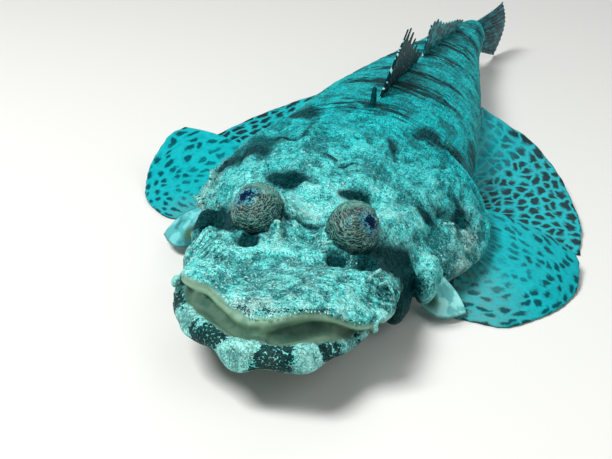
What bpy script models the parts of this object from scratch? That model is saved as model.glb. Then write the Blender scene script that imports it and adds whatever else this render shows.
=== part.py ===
"""A crocodilefish lying on its belly, life size and still, as closed solids in metres with +Z up.

The body is laid out in three measures: s runs back from the snout along the bent midline,
u runs sideways from it, positive on the fish's left, and z is the height above the floor.
"""
import math

import bmesh
import bpy
import numpy as np
from mathutils import Vector

# Gaps and thicknesses
GAP = 0.0003
CUT_GAP = 0.0005
MEMBRANE = 0.0007

# Places along the body
UPPER_TIP = 0.006
CHIN_TIP = -0.003
JAW_END = 0.075
HEAD_END = 0.185
TORSO_SPLIT = 0.360
TAIL_START = 0.490
CAUDAL_BASE = 0.562

# Bend of the midline
START_X = 0.002
NECK_TURN = math.radians(3.6)
TAIL_TURN = math.radians(12.0)

# Mouth
PALATE_Z = 0.036
PALATE_RISE = 0.0035
RIM_Z = 0.034
MOUTH_DEPTH = 0.0085
JAW_SHIFT = -0.005
JAW_ROLL = 0.035

# Eyes
EYE_S = 0.085
EYE_U = 0.0240
EYE_Z = 0.057
EYE_RADIUS = 0.0128
ORBIT_THICKNESS = 0.0022

# Nostrils: place along, place across and outer radius of the tube
NOSTRILS = ((0.036, 0.015, 0.0020), (0.047, 0.0175, 0.0016))

# Ray counts
PECTORAL_RAYS = 20
PELVIC_RAYS = 11
FIRST_DORSAL_SPINES = 8
SECOND_DORSAL_RAYS = 12
ANAL_RAYS = 11
CAUDAL_RAYS = 13
FLAP_RAYS = 6


def smooth(*stations):
    """Give a smooth function through (place, value) stations that never overshoots them."""
    at = np.array([place for place, _ in stations])
    value = np.array([size for _, size in stations])
    step = np.diff(at)
    slope = np.diff(value) / step
    inner = np.where(slope[:-1] * slope[1:] > 0, 2 * slope[:-1] * slope[1:] / (slope[:-1] + slope[1:] + 1e-12), 0)
    tangent = np.concatenate(([slope[0]], inner, [slope[-1]]))

    def read(x):
        x = np.clip(x, at[0], at[-1])
        i = np.clip(np.searchsorted(at, x) - 1, 0, len(step) - 1)
        t = (x - at[i]) / step[i]
        start = (1 + 2 * t) * (1 - t) ** 2 * value[i] + t * (1 - t) ** 2 * step[i] * tangent[i]
        end = t * t * (3 - 2 * t) * value[i + 1] + t * t * (t - 1) * step[i] * tangent[i + 1]
        return start + end

    return read


# Half width of the head, upper jaw in front
HEAD_WIDTH = smooth(
    (0.006, 0.004), (0.009, 0.010), (0.014, 0.0155), (0.019, 0.021), (0.024, 0.029), (0.0275, 0.038),
    (0.031, 0.044), (0.036, 0.0465), (0.050, 0.049), (0.068, 0.052), (0.085, 0.0515), (0.100, 0.055),
    (0.119, 0.0655), (0.135, 0.075), (0.152, 0.0815), (0.168, 0.0835), (0.185, 0.080),
)
CROWN_Z = smooth(
    (0.006, 0.0425), (0.020, 0.046), (0.050, 0.048), (0.085, 0.050), (0.120, 0.060), (0.150, 0.067), (0.185, 0.071)
)
HEAD_SIDE_Z = smooth(
    (0.006, 0.0395), (0.030, 0.0395), (0.050, 0.037), (0.068, 0.034), (0.085, 0.031), (0.100, 0.027), (0.120, 0.022),
    (0.150, 0.021), (0.168, 0.022), (0.185, 0.025),
)
THROAT_Z = smooth((0.075, 0.0095), (0.100, 0.004), (0.130, -0.003), (0.185, -0.003))

# Lower jaw: outer half width, inner edge of the rim and underside
JAW_WIDTH = smooth(
    (-0.003, 0.006), (-0.002, 0.012), (0.0, 0.0175), (0.004, 0.0245), (0.008, 0.0292), (0.014, 0.034),
    (0.020, 0.0378), (0.030, 0.0428), (0.040, 0.046), (0.050, 0.048), (0.075, 0.0490),
)
RIM_INNER = smooth(
    (0.002, 0.0), (0.0025, 0.006), (0.004, 0.012), (0.007, 0.0175), (0.010, 0.0215), (0.014, 0.027), (0.020, 0.032),
    (0.026, 0.037), (0.035, 0.041), (0.075, 0.042),
)
KEEL_Z = smooth((-0.003, 0.0215), (0.010, 0.0195), (0.030, 0.0165), (0.075, 0.0095))

# Torso and tail
BODY_WIDTH = smooth(
    (0.185, 0.066), (0.210, 0.064), (0.270, 0.0590), (0.340, 0.0485), (0.400, 0.038), (0.450, 0.029), (0.500, 0.0212),
    (0.535, 0.0160), (0.553, 0.0120), (0.562, 0.0040),
)
BACK_Z = smooth(
    (0.185, 0.071), (0.210, 0.0740), (0.250, 0.0735), (0.320, 0.0700), (0.360, 0.067), (0.420, 0.0615), (0.490, 0.055),
    (0.540, 0.050), (0.562, 0.049),
)
BODY_SIDE_Z = smooth((0.185, 0.027), (0.210, 0.031), (0.250, 0.034), (0.360, 0.037), (0.490, 0.035), (0.562, 0.0355))
BELLY_Z = smooth(
    (0.185, -0.002), (0.320, -0.002), (0.345, 0.0), (0.400, 0.005), (0.450, 0.011), (0.490, 0.015), (0.540, 0.020),
    (0.562, 0.021),
)


def ease(start, end, x):
    """Rise smoothly from 0 at start to 1 at end."""
    t = np.clip((x - start) / (end - start), 0, 1)
    return t * t * (3 - 2 * t)


def heading(s):
    """Angle of the midline from +Y, turning toward +X."""
    return NECK_TURN * ease(0.09, 0.22, s) + TAIL_TURN * ease(0.46, 0.62, s)


MIDLINE_S = np.arange(-0.02, 0.72, 0.001)
MIDLINE_X = START_X + np.cumsum(np.sin(heading(MIDLINE_S))) * 0.001
MIDLINE_Y = -0.02 + np.cumsum(np.cos(heading(MIDLINE_S))) * 0.001 - 0.001


def place(s, u, z):
    """Turn body measures into world points."""
    turn = heading(s)
    x = np.interp(s, MIDLINE_S, MIDLINE_X) + u * np.cos(turn)
    y = np.interp(s, MIDLINE_S, MIDLINE_Y) - u * np.sin(turn)
    return np.stack(np.broadcast_arrays(x, y, z), axis=-1)


def dome(x, power, root):
    """Height of a rounded section, 1 in the middle and 0 at x = 1."""
    return np.clip(1 - np.abs(x) ** power, 0, 1) ** (1 / root)


def bump(s, u, at_s, at_u, along, across=None):
    """A soft hill on both sides of the midline."""
    across = across or along
    return np.exp(-(((s - at_s) / along) ** 2) - ((np.abs(u) - at_u) / across) ** 2)


def mound(s, u, at_s, at_u, spread):
    """A flat-topped hill on both sides of the midline."""
    return np.exp(-((((s - at_s) ** 2 + (np.abs(u) - at_u) ** 2) / spread**2) ** 2))


def ridge(s, u, start, end, from_u, to_u, breadth):
    """A soft line of height on both sides, running from one place to another."""
    line = from_u + (to_u - from_u) * (s - start) / (end - start)
    reach = ease(start - 0.006, start + 0.006, s) * (1 - ease(end - 0.006, end + 0.006, s))
    return reach * np.exp(-(((np.abs(u) - line) / breadth) ** 2))


def head_top(s, u):
    """Upper surface of the head with its mounds, pits and ridges."""
    x = u / HEAD_WIDTH(s)
    back = ease(0.06, 0.13, s)
    arch = dome(x, 3.4 - 1.3 * back, 2.0 - 0.5 * back)
    z = HEAD_SIDE_Z(s) + (CROWN_Z(s) - HEAD_SIDE_Z(s)) * arch
    form = 0.0085 * mound(s, u, EYE_S, EYE_U, 0.0185)
    form += 0.0025 * bump(s, u, 0.072, 0.012, 0.006)
    form -= 0.0040 * bump(s, u, 0.063, 0.023, 0.006)
    form -= 0.0045 * bump(s, u, 0.112, 0.022, 0.009)
    form -= 0.0025 * bump(s, u, 0.085, 0.0, 0.020, 0.006)
    form -= 0.0020 * bump(s, u, 0.140, 0.0, 0.030, 0.008)
    form += 0.0025 * ridge(s, u, 0.118, 0.180, 0.016, 0.024, 0.005)
    form += 0.0035 * ridge(s, u, 0.098, 0.180, 0.036, 0.058, 0.006)
    form += 0.0030 * ridge(s, u, 0.045, 0.110, 0.036, 0.047, 0.005)
    form -= 0.0030 * ridge(s, u, 0.070, 0.130, 0.044, 0.060, 0.005)
    form += 0.0015 * (1 - ease(0.03, 0.06, s)) * np.exp(-(((np.abs(x) - 0.90) / 0.07) ** 2))
    return z + form * (1 - np.abs(x) ** 8)


def palate(s, u):
    """Roof of the mouth, arched behind the upper lip."""
    x = u / HEAD_WIDTH(s)
    side = HEAD_SIDE_Z(s)
    flat = side - (side - PALATE_Z) * dome(x, 8, 2)
    return flat + PALATE_RISE * (1 - x * x) * ease(0.012, 0.04, s)


def throat(s, u):
    """Underside of the head behind the jaw, flat where it lies on the floor."""
    x = u / HEAD_WIDTH(s)
    side = HEAD_SIDE_Z(s)
    return np.maximum(0, side - (side - THROAT_Z(s)) * dome(x, 2, 1))


def jaw_round(s):
    """Rounding of the chin toward its tip."""
    t = np.clip((s - CHIN_TIP + 0.0008) / 0.006, 0, 1)
    return np.sqrt(1 - (1 - t) ** 2)


def jaw_top(s, u):
    """Rim of the lower jaw and the hollow floor of the mouth inside it."""
    x = u / JAW_WIDTH(s)
    shut = ease(0.028, 0.046, s)
    roll = JAW_ROLL * u * (1 - ease(0.02, 0.05, s)) - 0.0012 * (1 - shut)
    rim = RIM_Z + (PALATE_Z - GAP - RIM_Z) * shut
    side = 0.0265
    z = side + (rim - side) * jaw_round(s) * dome(x, 6, 2) + roll
    return z - MOUTH_DEPTH * ease(0.0, 0.010, RIM_INNER(s) - np.abs(u))


def jaw_under(s, u):
    """Underside of the lower jaw with two chin bumps."""
    x = u / JAW_WIDTH(s)
    side = 0.0265
    roll = JAW_ROLL * u * (1 - ease(0.02, 0.05, s)) - 0.0012 * (1 - ease(0.028, 0.046, s))
    chin = 0.0015 * bump(s, u, 0.002, 0.0135, 0.006)
    return side - (side - KEEL_Z(s) + chin) * jaw_round(s) * dome(x, 2.6, 1.4) + roll


def body_top(s, u):
    """Back of the torso and tail."""
    side = BODY_SIDE_Z(s)
    return side + (BACK_Z(s) - side) * dome(u / BODY_WIDTH(s), 2.0, 1.9)


def body_under(s, u):
    """Belly of the torso and tail, flat where it lies on the floor."""
    side = BODY_SIDE_Z(s)
    return np.maximum(0, side - (side - BELLY_Z(s)) * dome(u / BODY_WIDTH(s), 2.4, 1.6))


def ring(s, half_width, top, under, columns, grow=0.0, shift=0.0):
    """One closed section: over the top from +u to -u, then back underneath."""
    across = np.cos(np.linspace(0, math.pi, columns + 1))
    width = half_width(s)
    u = width * across
    over = place(s, u + grow * across + shift, top(s, u) + grow * np.sin(np.arccos(across)))
    below = place(s, u + grow * across + shift, under(s, u) - grow * np.sin(np.arccos(across)))
    return np.concatenate((over, below[-2:0:-1]))


def loft(name, rings):
    """Join rings of equal count into one closed object."""
    count = len(rings[0])
    columns = count // 2
    mesh = bmesh.new()
    rows = [[mesh.verts.new(point) for point in points] for points in rings]
    for near, far in zip(rows, rows[1:]):
        for k in range(count):
            mesh.faces.new((near[k], near[(k + 1) % count], far[(k + 1) % count], far[k]))
    for end in (rows[0], rows[-1]):
        for k in range(columns):
            lower = [end[(count - k) % count], end[(count - k - 1) % count]]
            corners = [end[k], end[k + 1], lower[1], lower[0]]
            mesh.faces.new(list(dict.fromkeys(corners)))
    bmesh.ops.remove_doubles(mesh, verts=mesh.verts[:], dist=1e-6)
    return finish(name, mesh)


def finish(name, mesh):
    """Turn a bmesh into an object with its faces pointing out."""
    bmesh.ops.dissolve_degenerate(mesh, edges=mesh.edges[:], dist=1e-7)
    bmesh.ops.triangulate(mesh, faces=mesh.faces[:])
    bmesh.ops.recalc_face_normals(mesh, faces=mesh.faces[:])
    data = bpy.data.meshes.new(name)
    mesh.to_mesh(data)
    mesh.free()
    made = bpy.data.objects.new(name, data)
    bpy.context.collection.objects.link(made)
    return made


def combine(made, operation, others):
    """Fuse the others into an object, or cut them out of it, and keep its largest surface."""
    tools = bpy.data.collections.new("tools")
    for other in others:
        tools.objects.link(other)
    step = made.modifiers.new(operation, "BOOLEAN")
    step.operation = operation
    step.operand_type = "COLLECTION"
    step.collection = tools
    step.solver = "EXACT"
    graph = bpy.context.evaluated_depsgraph_get()
    data = bpy.data.meshes.new_from_object(made.evaluated_get(graph))
    made.modifiers.clear()
    made.data = data
    for other in others:
        bpy.data.objects.remove(other)
    bpy.data.collections.remove(tools)
    keep_largest(made)


def keep_largest(made):
    """Drop every loose scrap but the largest closed surface."""
    mesh = bmesh.new()
    mesh.from_mesh(made.data)
    left = set(mesh.verts)
    groups = []
    while left:
        group = {left.pop()}
        edge = list(group)
        while edge:
            near = [link.other_vert(vert) for vert in edge for link in vert.link_edges]
            edge = [vert for vert in set(near) if vert not in group]
            group.update(edge)
        left -= group
        groups.append(group)
    groups.sort(key=len)
    for group in groups[:-1]:
        bmesh.ops.delete(mesh, geom=list(group), context="VERTS")
    bmesh.ops.triangulate(mesh, faces=mesh.faces[:])
    mesh.to_mesh(made.data)
    mesh.free()


def fin(name, rays, rows, root, tip, bow, thick_root, thick_tip, notch=0.0):
    """A fin of ridged rays in a thin membrane, from functions of f, 0 at the first ray and 1 at the last."""
    columns = 2 * rays - 1
    f = np.linspace(0, 1, columns)[:, None]
    is_ray = (np.arange(columns) % 2 == 0)[:, None]
    r = np.linspace(0, 1, rows + 1)[None, :] * np.where(is_ray, 1.0, 1.0 - notch)
    start = np.stack(np.broadcast_arrays(*root(f)), axis=-1)
    end = np.stack(np.broadcast_arrays(*tip(f)), axis=-1)
    lift = np.stack(np.broadcast_arrays(*bow(f)), axis=-1)
    middle = start + (end - start) * r[..., None] + lift * (4 * r * (1 - r))[..., None]
    ray_half = (thick_root + (thick_tip - thick_root) * r) / 2
    half = np.where(is_ray, ray_half, np.minimum(MEMBRANE / 2, ray_half))
    middle[..., 2] = np.maximum(middle[..., 2], half)
    world = place(middle[..., 0], middle[..., 1], middle[..., 2])
    along = np.gradient(world, axis=1)
    aside = np.gradient(world, axis=0)
    normal = np.cross(aside, along)
    normal /= np.linalg.norm(normal, axis=-1, keepdims=True)
    faces = [world + normal * half[..., None], world - normal * half[..., None]]
    mesh = bmesh.new()
    sheets = []
    for face in faces:
        face[..., 2] = np.maximum(face[..., 2], 0)
        sheets.append([[mesh.verts.new(point) for point in column] for column in face])
    for sheet in sheets:
        for i in range(columns - 1):
            for j in range(rows):
                a, b, c, d = sheet[i][j], sheet[i + 1][j], sheet[i + 1][j + 1], sheet[i][j + 1]
                mesh.faces.new((a, b, d))
                mesh.faces.new((b, c, d))
    rim = [(i, 0) for i in range(columns)] + [(columns - 1, j) for j in range(1, rows + 1)]
    rim += [(i, rows) for i in range(columns - 2, -1, -1)] + [(0, j) for j in range(rows - 1, 0, -1)]
    for (i, j), (k, m) in zip(rim, rim[1:] + rim[:1]):
        mesh.faces.new((sheets[0][i][j], sheets[0][k][m], sheets[1][k][m], sheets[1][i][j]))
    return finish(name, mesh)


def colour(made, name, base, roughness):
    """Give an object its own material."""
    material = bpy.data.materials.new(name)
    material.use_nodes = True
    shader = material.node_tree.nodes["Principled BSDF"]
    shader.inputs["Base Color"].default_value = (*base, 1.0)
    shader.inputs["Roughness"].default_value = roughness
    shader.inputs["Metallic"].default_value = 0.0
    made.data.materials.clear()
    made.data.materials.append(material)
    return made


def ball(name, centre, radii, segments=16, rings=10):
    """A ball, stretched by its three radii."""
    mesh = bmesh.new()
    bmesh.ops.create_uvsphere(mesh, u_segments=segments, v_segments=rings, radius=1.0)
    for vert in mesh.verts:
        vert.co = Vector(centre) + Vector([vert.co[axis] * radii[axis] for axis in range(3)])
    return finish(name, mesh)


def eye_centre(side):
    """World point in the middle of one eye."""
    return Vector(place(EYE_S, side * EYE_U, EYE_Z))


def orbit(side):
    """Raised rim round one eye, tilted outward."""
    mesh = bmesh.new()
    around, section = 18, 5
    tilt = side * math.radians(24)
    loops = []
    for i in range(around):
        turn = 2 * math.pi * i / around
        loop = []
        for j in range(section):
            spin = 2 * math.pi * j / section
            reach = EYE_RADIUS + 0.0006 + ORBIT_THICKNESS * math.cos(spin)
            flat = Vector((reach * math.cos(turn), reach * math.sin(turn), ORBIT_THICKNESS * math.sin(spin)))
            x = flat.x * math.cos(tilt) + flat.z * math.sin(tilt)
            z = flat.z * math.cos(tilt) - flat.x * math.sin(tilt)
            loop.append(mesh.verts.new(eye_centre(side) + Vector((x, flat.y, z - 0.0038))))
        loops.append(loop)
    for i in range(around):
        near, far = loops[i], loops[(i + 1) % around]
        for j in range(section):
            k = (j + 1) % section
            mesh.faces.new((near[j], near[k], far[k], far[j]))
    return finish("orbit", mesh)


def nostril(side, s, u, radius):
    """A short open tube on the snout."""
    foot = Vector(place(s, side * u, float(head_top(s, u)) - 0.002))
    profile = ((radius * 1.3, 0.0), (radius, 0.0042), (radius * 0.55, 0.0042), (radius * 0.5, 0.0026))
    mesh = bmesh.new()
    loops = []
    for reach, height in profile:
        loop = []
        for i in range(8):
            turn = math.pi * i / 4
            loop.append(mesh.verts.new(foot + Vector((reach * math.cos(turn), reach * math.sin(turn), height))))
        loops.append(loop)
    for near, far in zip(loops, loops[1:]):
        for i in range(8):
            mesh.faces.new((near[i], near[(i + 1) % 8], far[(i + 1) % 8], far[i]))
    mesh.faces.new(loops[0])
    mesh.faces.new(loops[-1])
    return finish("nostril", mesh)


def head_rings(columns, grow=0.0):
    """Sections of the head, with the mouth roof in front and the throat behind."""
    front = [*np.linspace(UPPER_TIP, 0.031, 8), 0.036, 0.043, 0.050, 0.057, 0.063, 0.069, JAW_END + GAP]
    rear = [JAW_END + GAP, *np.linspace(0.081, HEAD_END, 17)]
    rings = [ring(s, HEAD_WIDTH, head_top, palate, columns, grow) for s in front]
    return rings + [ring(s, HEAD_WIDTH, head_top, throat, columns, grow) for s in rear]


def body_rings(start, end, rows, columns, grow=0.0):
    """Sections of the torso or tail between two places."""
    return [ring(s, BODY_WIDTH, body_top, body_under, columns, grow) for s in np.linspace(start, end, rows)]


def clear_body():
    """The whole torso and tail, grown a little, to cut the roots of fins to fit."""
    return loft("clear body", body_rings(HEAD_END + GAP, CAUDAL_BASE, 30, 30, CUT_GAP))


def build_head():
    """Head with gill covers, orbits, eye sockets and nostrils."""
    head = loft("head", head_rings(26))
    fused = [orbit(side) for side in (-1, 1)]
    for side in (-1, 1):
        centre = place(0.180, side * 0.0715, 0.028)
        fused.append(ball("gill cover", centre, (0.0105, 0.022, 0.0075), 14, 8))
        fused += [nostril(side, *sizes) for sizes in NOSTRILS]
    combine(head, "UNION", fused)
    sockets = [ball("socket", eye_centre(side), [EYE_RADIUS + GAP] * 3, 16, 10) for side in (-1, 1)]
    combine(head, "DIFFERENCE", sockets + [clear_body()])
    return colour(head, "mottled head skin", (0.36, 0.47, 0.40), 0.7)


def build_jaw():
    """Lower jaw, jutting ahead of the upper one and a little skewed."""
    stations = [*(CHIN_TIP + 0.036 * (np.linspace(0, 1, 11)) ** 1.7), 0.037, 0.044, 0.052, 0.060, 0.068, JAW_END]
    rings = []
    for s in stations:
        shift = JAW_SHIFT * float(ease(-0.003, 0.030, s) - ease(0.045, 0.075, s))
        rings.append(ring(s, JAW_WIDTH, jaw_top, jaw_under, 24, 0.0, shift))
    return colour(loft("lower_jaw", rings), "barred jaw skin", (0.50, 0.56, 0.48), 0.6)


def build_eye(side, name):
    """One eyeball."""
    eye = ball(name, eye_centre(side), [EYE_RADIUS] * 3, 16, 10)
    return colour(eye, name + " cornea", (0.16, 0.15, 0.10), 0.15)


def build_torso_front():
    """Front of the trunk with the short lone spine ahead of the first dorsal fin."""
    torso = loft("torso_front", body_rings(HEAD_END + GAP, TORSO_SPLIT, 13, 30))
    mesh = bmesh.new()
    bmesh.ops.create_cone(mesh, cap_ends=True, segments=8, radius1=0.0016, radius2=0.0004, depth=0.012)
    foot = Vector(place(0.211, 0.0, BACK_Z(0.211) + 0.003))
    for vert in mesh.verts:
        vert.co = foot + vert.co + Vector((0.0, 0.25 * vert.co.z, 0.0))
    combine(torso, "UNION", [finish("lone spine", mesh)])
    return colour(torso, "mottled back skin", (0.38, 0.48, 0.41), 0.7)


def build_torso_rear():
    """Rear of the trunk."""
    torso = loft("torso_rear", body_rings(TORSO_SPLIT + GAP, TAIL_START, 9, 26))
    return colour(torso, "saddled back skin", (0.33, 0.42, 0.37), 0.7)


def build_tail():
    """Tail stalk up to the root of the caudal fin."""
    tail = loft("tail", body_rings(TAIL_START + GAP, CAUDAL_BASE, 7, 20))
    return colour(tail, "banded tail skin", (0.28, 0.36, 0.31), 0.7)


def build_pectoral(side, name):
    """Broad fan in front, spread over the floor from behind the gill cover; the right one is set back and raised."""
    tip_u = smooth((0, 0.083), (0.15, 0.099), (0.35, 0.117), (0.55, 0.131), (0.75, 0.136), (0.9, 0.134), (1, 0.126))
    tip_s = smooth((0, 0.120), (0.15, 0.117), (0.35, 0.134), (0.55, 0.160), (0.75, 0.183), (0.9, 0.203), (1, 0.213))
    tip_z = smooth((0, 0.0005), (0.6, 0.0005), (0.8, 0.004), (1, 0.011))
    back = 0.0
    lift = 0.0
    if side < 0:
        back = 0.016
        lift = 0.018
    made = fin(
        name, PECTORAL_RAYS, 5,
        lambda f: (0.190 + 0.020 * f, side * 0.058, 0.012 + 0.013 * f),
        lambda f: (tip_s(f) + back, side * tip_u(f), tip_z(f) + lift * ease(0.5, 1.0, f)),
        lambda f: (0.004 * (1 - f), side * 0.010 * (1 - f), 0.001 + 0.003 * f),
        0.0020, 0.0009, 0.012,
    )
    combine(made, "DIFFERENCE", [clear_body()])
    return colour(made, name + " membrane", (0.55, 0.66, 0.58), 0.5)


def build_pelvic(side, name):
    """Large fan behind the pectoral fin, its last ray raised along the flank."""
    tip_u = smooth((0, 0.134), (0.2, 0.132), (0.4, 0.121), (0.6, 0.104), (0.8, 0.080), (1, 0.054))
    tip_s = smooth((0, 0.228), (0.2, 0.258), (0.4, 0.298), (0.6, 0.338), (0.8, 0.366), (1, 0.366))
    tip_z = smooth((0, 0.0005), (0.2, 0.003), (0.6, 0.010), (0.8, 0.017), (1, 0.027))
    made = fin(
        name, PELVIC_RAYS, 6,
        lambda f: (0.222 + 0.022 * f, side * 0.044, 0.0050 + 0.006 * f),
        lambda f: (tip_s(f), side * tip_u(f), tip_z(f)),
        lambda f: (0.0, side * 0.010 * f, -0.0005 + 0.0 * f),
        0.0024, 0.0010, 0.012,
    )
    combine(made, "DIFFERENCE", [clear_body()])
    return colour(made, name + " membrane", (0.40, 0.50, 0.44), 0.5)


def build_first_dorsal():
    """Spiny first dorsal fin, tallest in front and leaning back."""
    height = smooth((0, 0.032), (0.14, 0.036), (0.3, 0.034), (0.5, 0.026), (0.75, 0.015), (1, 0.006))
    made = fin(
        "first_dorsal_fin", FIRST_DORSAL_SPINES, 6,
        lambda f: (0.228 + 0.088 * f, 0.0 * f, BACK_Z(0.228 + 0.088 * f) - 0.004),
        lambda f: (0.248 + 0.086 * f, 0.006 - 0.004 * f, BACK_Z(0.248 + 0.086 * f) + height(f)),
        lambda f: (-0.002 + 0.0 * f, 0.0, 0.0),
        0.0024, 0.0009, 0.16,
    )
    combine(made, "DIFFERENCE", [clear_body()])
    return colour(made, "dark spiny fin", (0.06, 0.07, 0.05), 0.5)


def build_second_dorsal():
    """Soft second dorsal fin."""
    height = smooth((0, 0.022), (0.15, 0.023), (0.35, 0.017), (0.6, 0.013), (0.85, 0.010), (1, 0.007))
    made = fin(
        "second_dorsal_fin", SECOND_DORSAL_RAYS, 5,
        lambda f: (0.350 + 0.137 * f, 0.0 * f, BACK_Z(0.350 + 0.137 * f) - 0.003),
        lambda f: (0.358 + 0.145 * f, 0.002 + 0.0 * f, BACK_Z(0.358 + 0.145 * f) + height(f)),
        lambda f: (0.0 * f, 0.0, 0.0),
        0.0018, 0.0008, 0.08,
    )
    combine(made, "DIFFERENCE", [clear_body()])
    return colour(made, "barred soft fin", (0.22, 0.27, 0.22), 0.5)


def build_anal():
    """Anal fin, laid over to the left on the floor."""
    made = fin(
        "anal_fin", ANAL_RAYS, 4,
        lambda f: (0.402 + 0.098 * f, 0.0 * f, BELLY_Z(0.402 + 0.098 * f) + 0.003),
        lambda f: (0.412 + 0.104 * f, 0.014 - 0.004 * f, 0.0005 + 0.004 * f),
        lambda f: (0.0 * f, 0.002, -0.002),
        0.0016, 0.0008, 0.06,
    )
    combine(made, "DIFFERENCE", [clear_body()])
    return colour(made, "pale soft fin", (0.50, 0.58, 0.50), 0.5)


def build_caudal():
    """Rounded tail fin standing on its lower edge."""
    made = fin(
        "caudal_fin", CAUDAL_RAYS, 7,
        lambda f: (CAUDAL_BASE + GAP + 0.0 * f, 0.0, 0.0240 + 0.023 * f),
        lambda f: (0.630 + 0.018 * np.sin(math.pi * f), 0.0, 0.0005 + 0.063 * f),
        lambda f: (0.0 * f, 0.003, 0.0),
        0.0030, 0.0010, 0.03,
    )
    return colour(made, "banded tail fin", (0.16, 0.20, 0.16), 0.5)


def build_flap(side, name):
    """White fan of gill membrane under the edge of the gill cover."""
    made = fin(
        name, FLAP_RAYS, 5,
        lambda f: (0.118 + 0.005 * f, side * (0.057 + 0.004 * f), 0.0200 + 0.0 * f),
        lambda f: (0.114 - 0.007 * np.sin(math.pi * f) + 0.004 * f, side * (0.058 + 0.025 * f), 0.0040),
        lambda f: (0.0 * f, side * 0.002, 0.0015),
        0.0016, 0.0009, 0.03,
    )
    combine(made, "DIFFERENCE", [loft("clear head", head_rings(30, CUT_GAP))])
    return colour(made, name + " white skin", (0.80, 0.85, 0.78), 0.5)


def build():
    """Make every part, then centre the whole over the origin."""
    for old in list(bpy.data.objects):
        bpy.data.objects.remove(old)
    parts = [build_head(), build_jaw(), build_torso_front(), build_torso_rear(), build_tail()]
    for side, hand in ((1, "left"), (-1, "right")):
        parts.append(build_eye(side, "eye_" + hand))
        parts.append(build_pectoral(side, "pectoral_fin_" + hand))
        parts.append(build_pelvic(side, "pelvic_fin_" + hand))
        parts.append(build_flap(side, "gill_flap_" + hand))
    parts += [build_first_dorsal(), build_second_dorsal(), build_anal(), build_caudal()]
    points = np.concatenate([[vert.co[:] for vert in part.data.vertices] for part in parts])
    middle = (points.min(axis=0) + points.max(axis=0)) / 2
    for part in parts:
        part.location = (-middle[0], -middle[1], -points[:, 2].min())


build()
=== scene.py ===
"""The looks of a crocodilefish lying on its belly, life size and still.

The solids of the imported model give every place. Body measures are used throughout: s runs back from
the snout along the bent midline, u runs sideways, positive on the fish's left, and z is the height.
Profiles and tables of places are in millimetres, all else is in metres.
"""
import itertools
import math

import bpy
import numpy as np
from mathutils import Euler, Matrix, Vector


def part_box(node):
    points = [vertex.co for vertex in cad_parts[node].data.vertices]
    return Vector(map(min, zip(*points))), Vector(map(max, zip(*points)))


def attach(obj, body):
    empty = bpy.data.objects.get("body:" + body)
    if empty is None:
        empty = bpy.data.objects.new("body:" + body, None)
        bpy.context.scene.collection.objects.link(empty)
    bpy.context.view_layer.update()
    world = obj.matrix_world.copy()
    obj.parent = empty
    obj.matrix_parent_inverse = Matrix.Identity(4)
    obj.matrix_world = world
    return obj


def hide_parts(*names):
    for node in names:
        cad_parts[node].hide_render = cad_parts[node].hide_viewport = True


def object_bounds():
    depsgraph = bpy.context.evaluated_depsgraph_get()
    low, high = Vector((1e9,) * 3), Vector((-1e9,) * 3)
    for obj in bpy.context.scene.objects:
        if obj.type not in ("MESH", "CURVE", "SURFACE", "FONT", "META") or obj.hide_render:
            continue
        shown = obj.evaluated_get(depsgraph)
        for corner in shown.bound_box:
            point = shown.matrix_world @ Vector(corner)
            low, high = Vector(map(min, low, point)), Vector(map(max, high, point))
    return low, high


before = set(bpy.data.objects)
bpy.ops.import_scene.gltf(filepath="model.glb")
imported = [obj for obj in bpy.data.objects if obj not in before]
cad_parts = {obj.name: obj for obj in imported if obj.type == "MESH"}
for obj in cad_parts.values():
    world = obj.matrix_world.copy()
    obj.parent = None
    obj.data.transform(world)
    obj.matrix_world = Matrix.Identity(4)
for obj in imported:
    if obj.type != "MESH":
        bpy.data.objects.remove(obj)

SOLID_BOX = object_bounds()

# Places along the body, as in the solids
UPPER_TIP = 0.006
CHIN_TIP = -0.003
JAW_END = 0.075
HEAD_END = 0.185
CAUDAL_BASE = 0.562
START_X = 0.002
NECK_TURN = math.radians(3.6)
TAIL_TURN = math.radians(12.0)
PALATE_Z = 0.036
PALATE_RISE = 0.0035
RIM_Z = 0.034
MOUTH_DEPTH = 0.0026
JAW_SIDE_Z = 0.0265
JAW_SHIFT = -0.005
JAW_DROP = 0.0012
LIP_GAP = 0.0003
JAW_ROLL = 0.035
EYE_S = 0.085
EYE_U = 0.024
EYE_Z = 0.057
EYE_RADIUS = 0.0128
PITS = ((0.0648, 0.0192), (0.0672, -0.0246))
SIDES = {1: "left", -1: "right"}

# Skin mesh
VOXEL = 0.0009
MOST_TRIANGLES = 192000


def smooth(*stations):
    """Give a smooth function through (place, value) stations that never overshoots them."""
    at, value = np.array(stations, dtype=float).T
    step = np.diff(at)
    slope = np.diff(value) / step
    before, after = slope[:-1], slope[1:]
    inner = np.where(before * after > 0, 2 * before * after / (before + after + 1e-12), 0)
    tangent = np.concatenate(([slope[0]], inner, [slope[-1]]))

    def read(x):
        x = np.clip(x, at[0], at[-1])
        i = np.clip(np.searchsorted(at, x) - 1, 0, len(step) - 1)
        t = (x - at[i]) / step[i]
        start = (1 + 2 * t) * (1 - t) ** 2 * value[i] + t * (1 - t) ** 2 * step[i] * tangent[i]
        end = t * t * (3 - 2 * t) * value[i + 1] + t * t * (t - 1) * step[i] * tangent[i + 1]
        return start + end

    return read


def profile(*stations):
    """The same for stations in millimetres."""
    return smooth(*(np.array(stations) / 1000))


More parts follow.
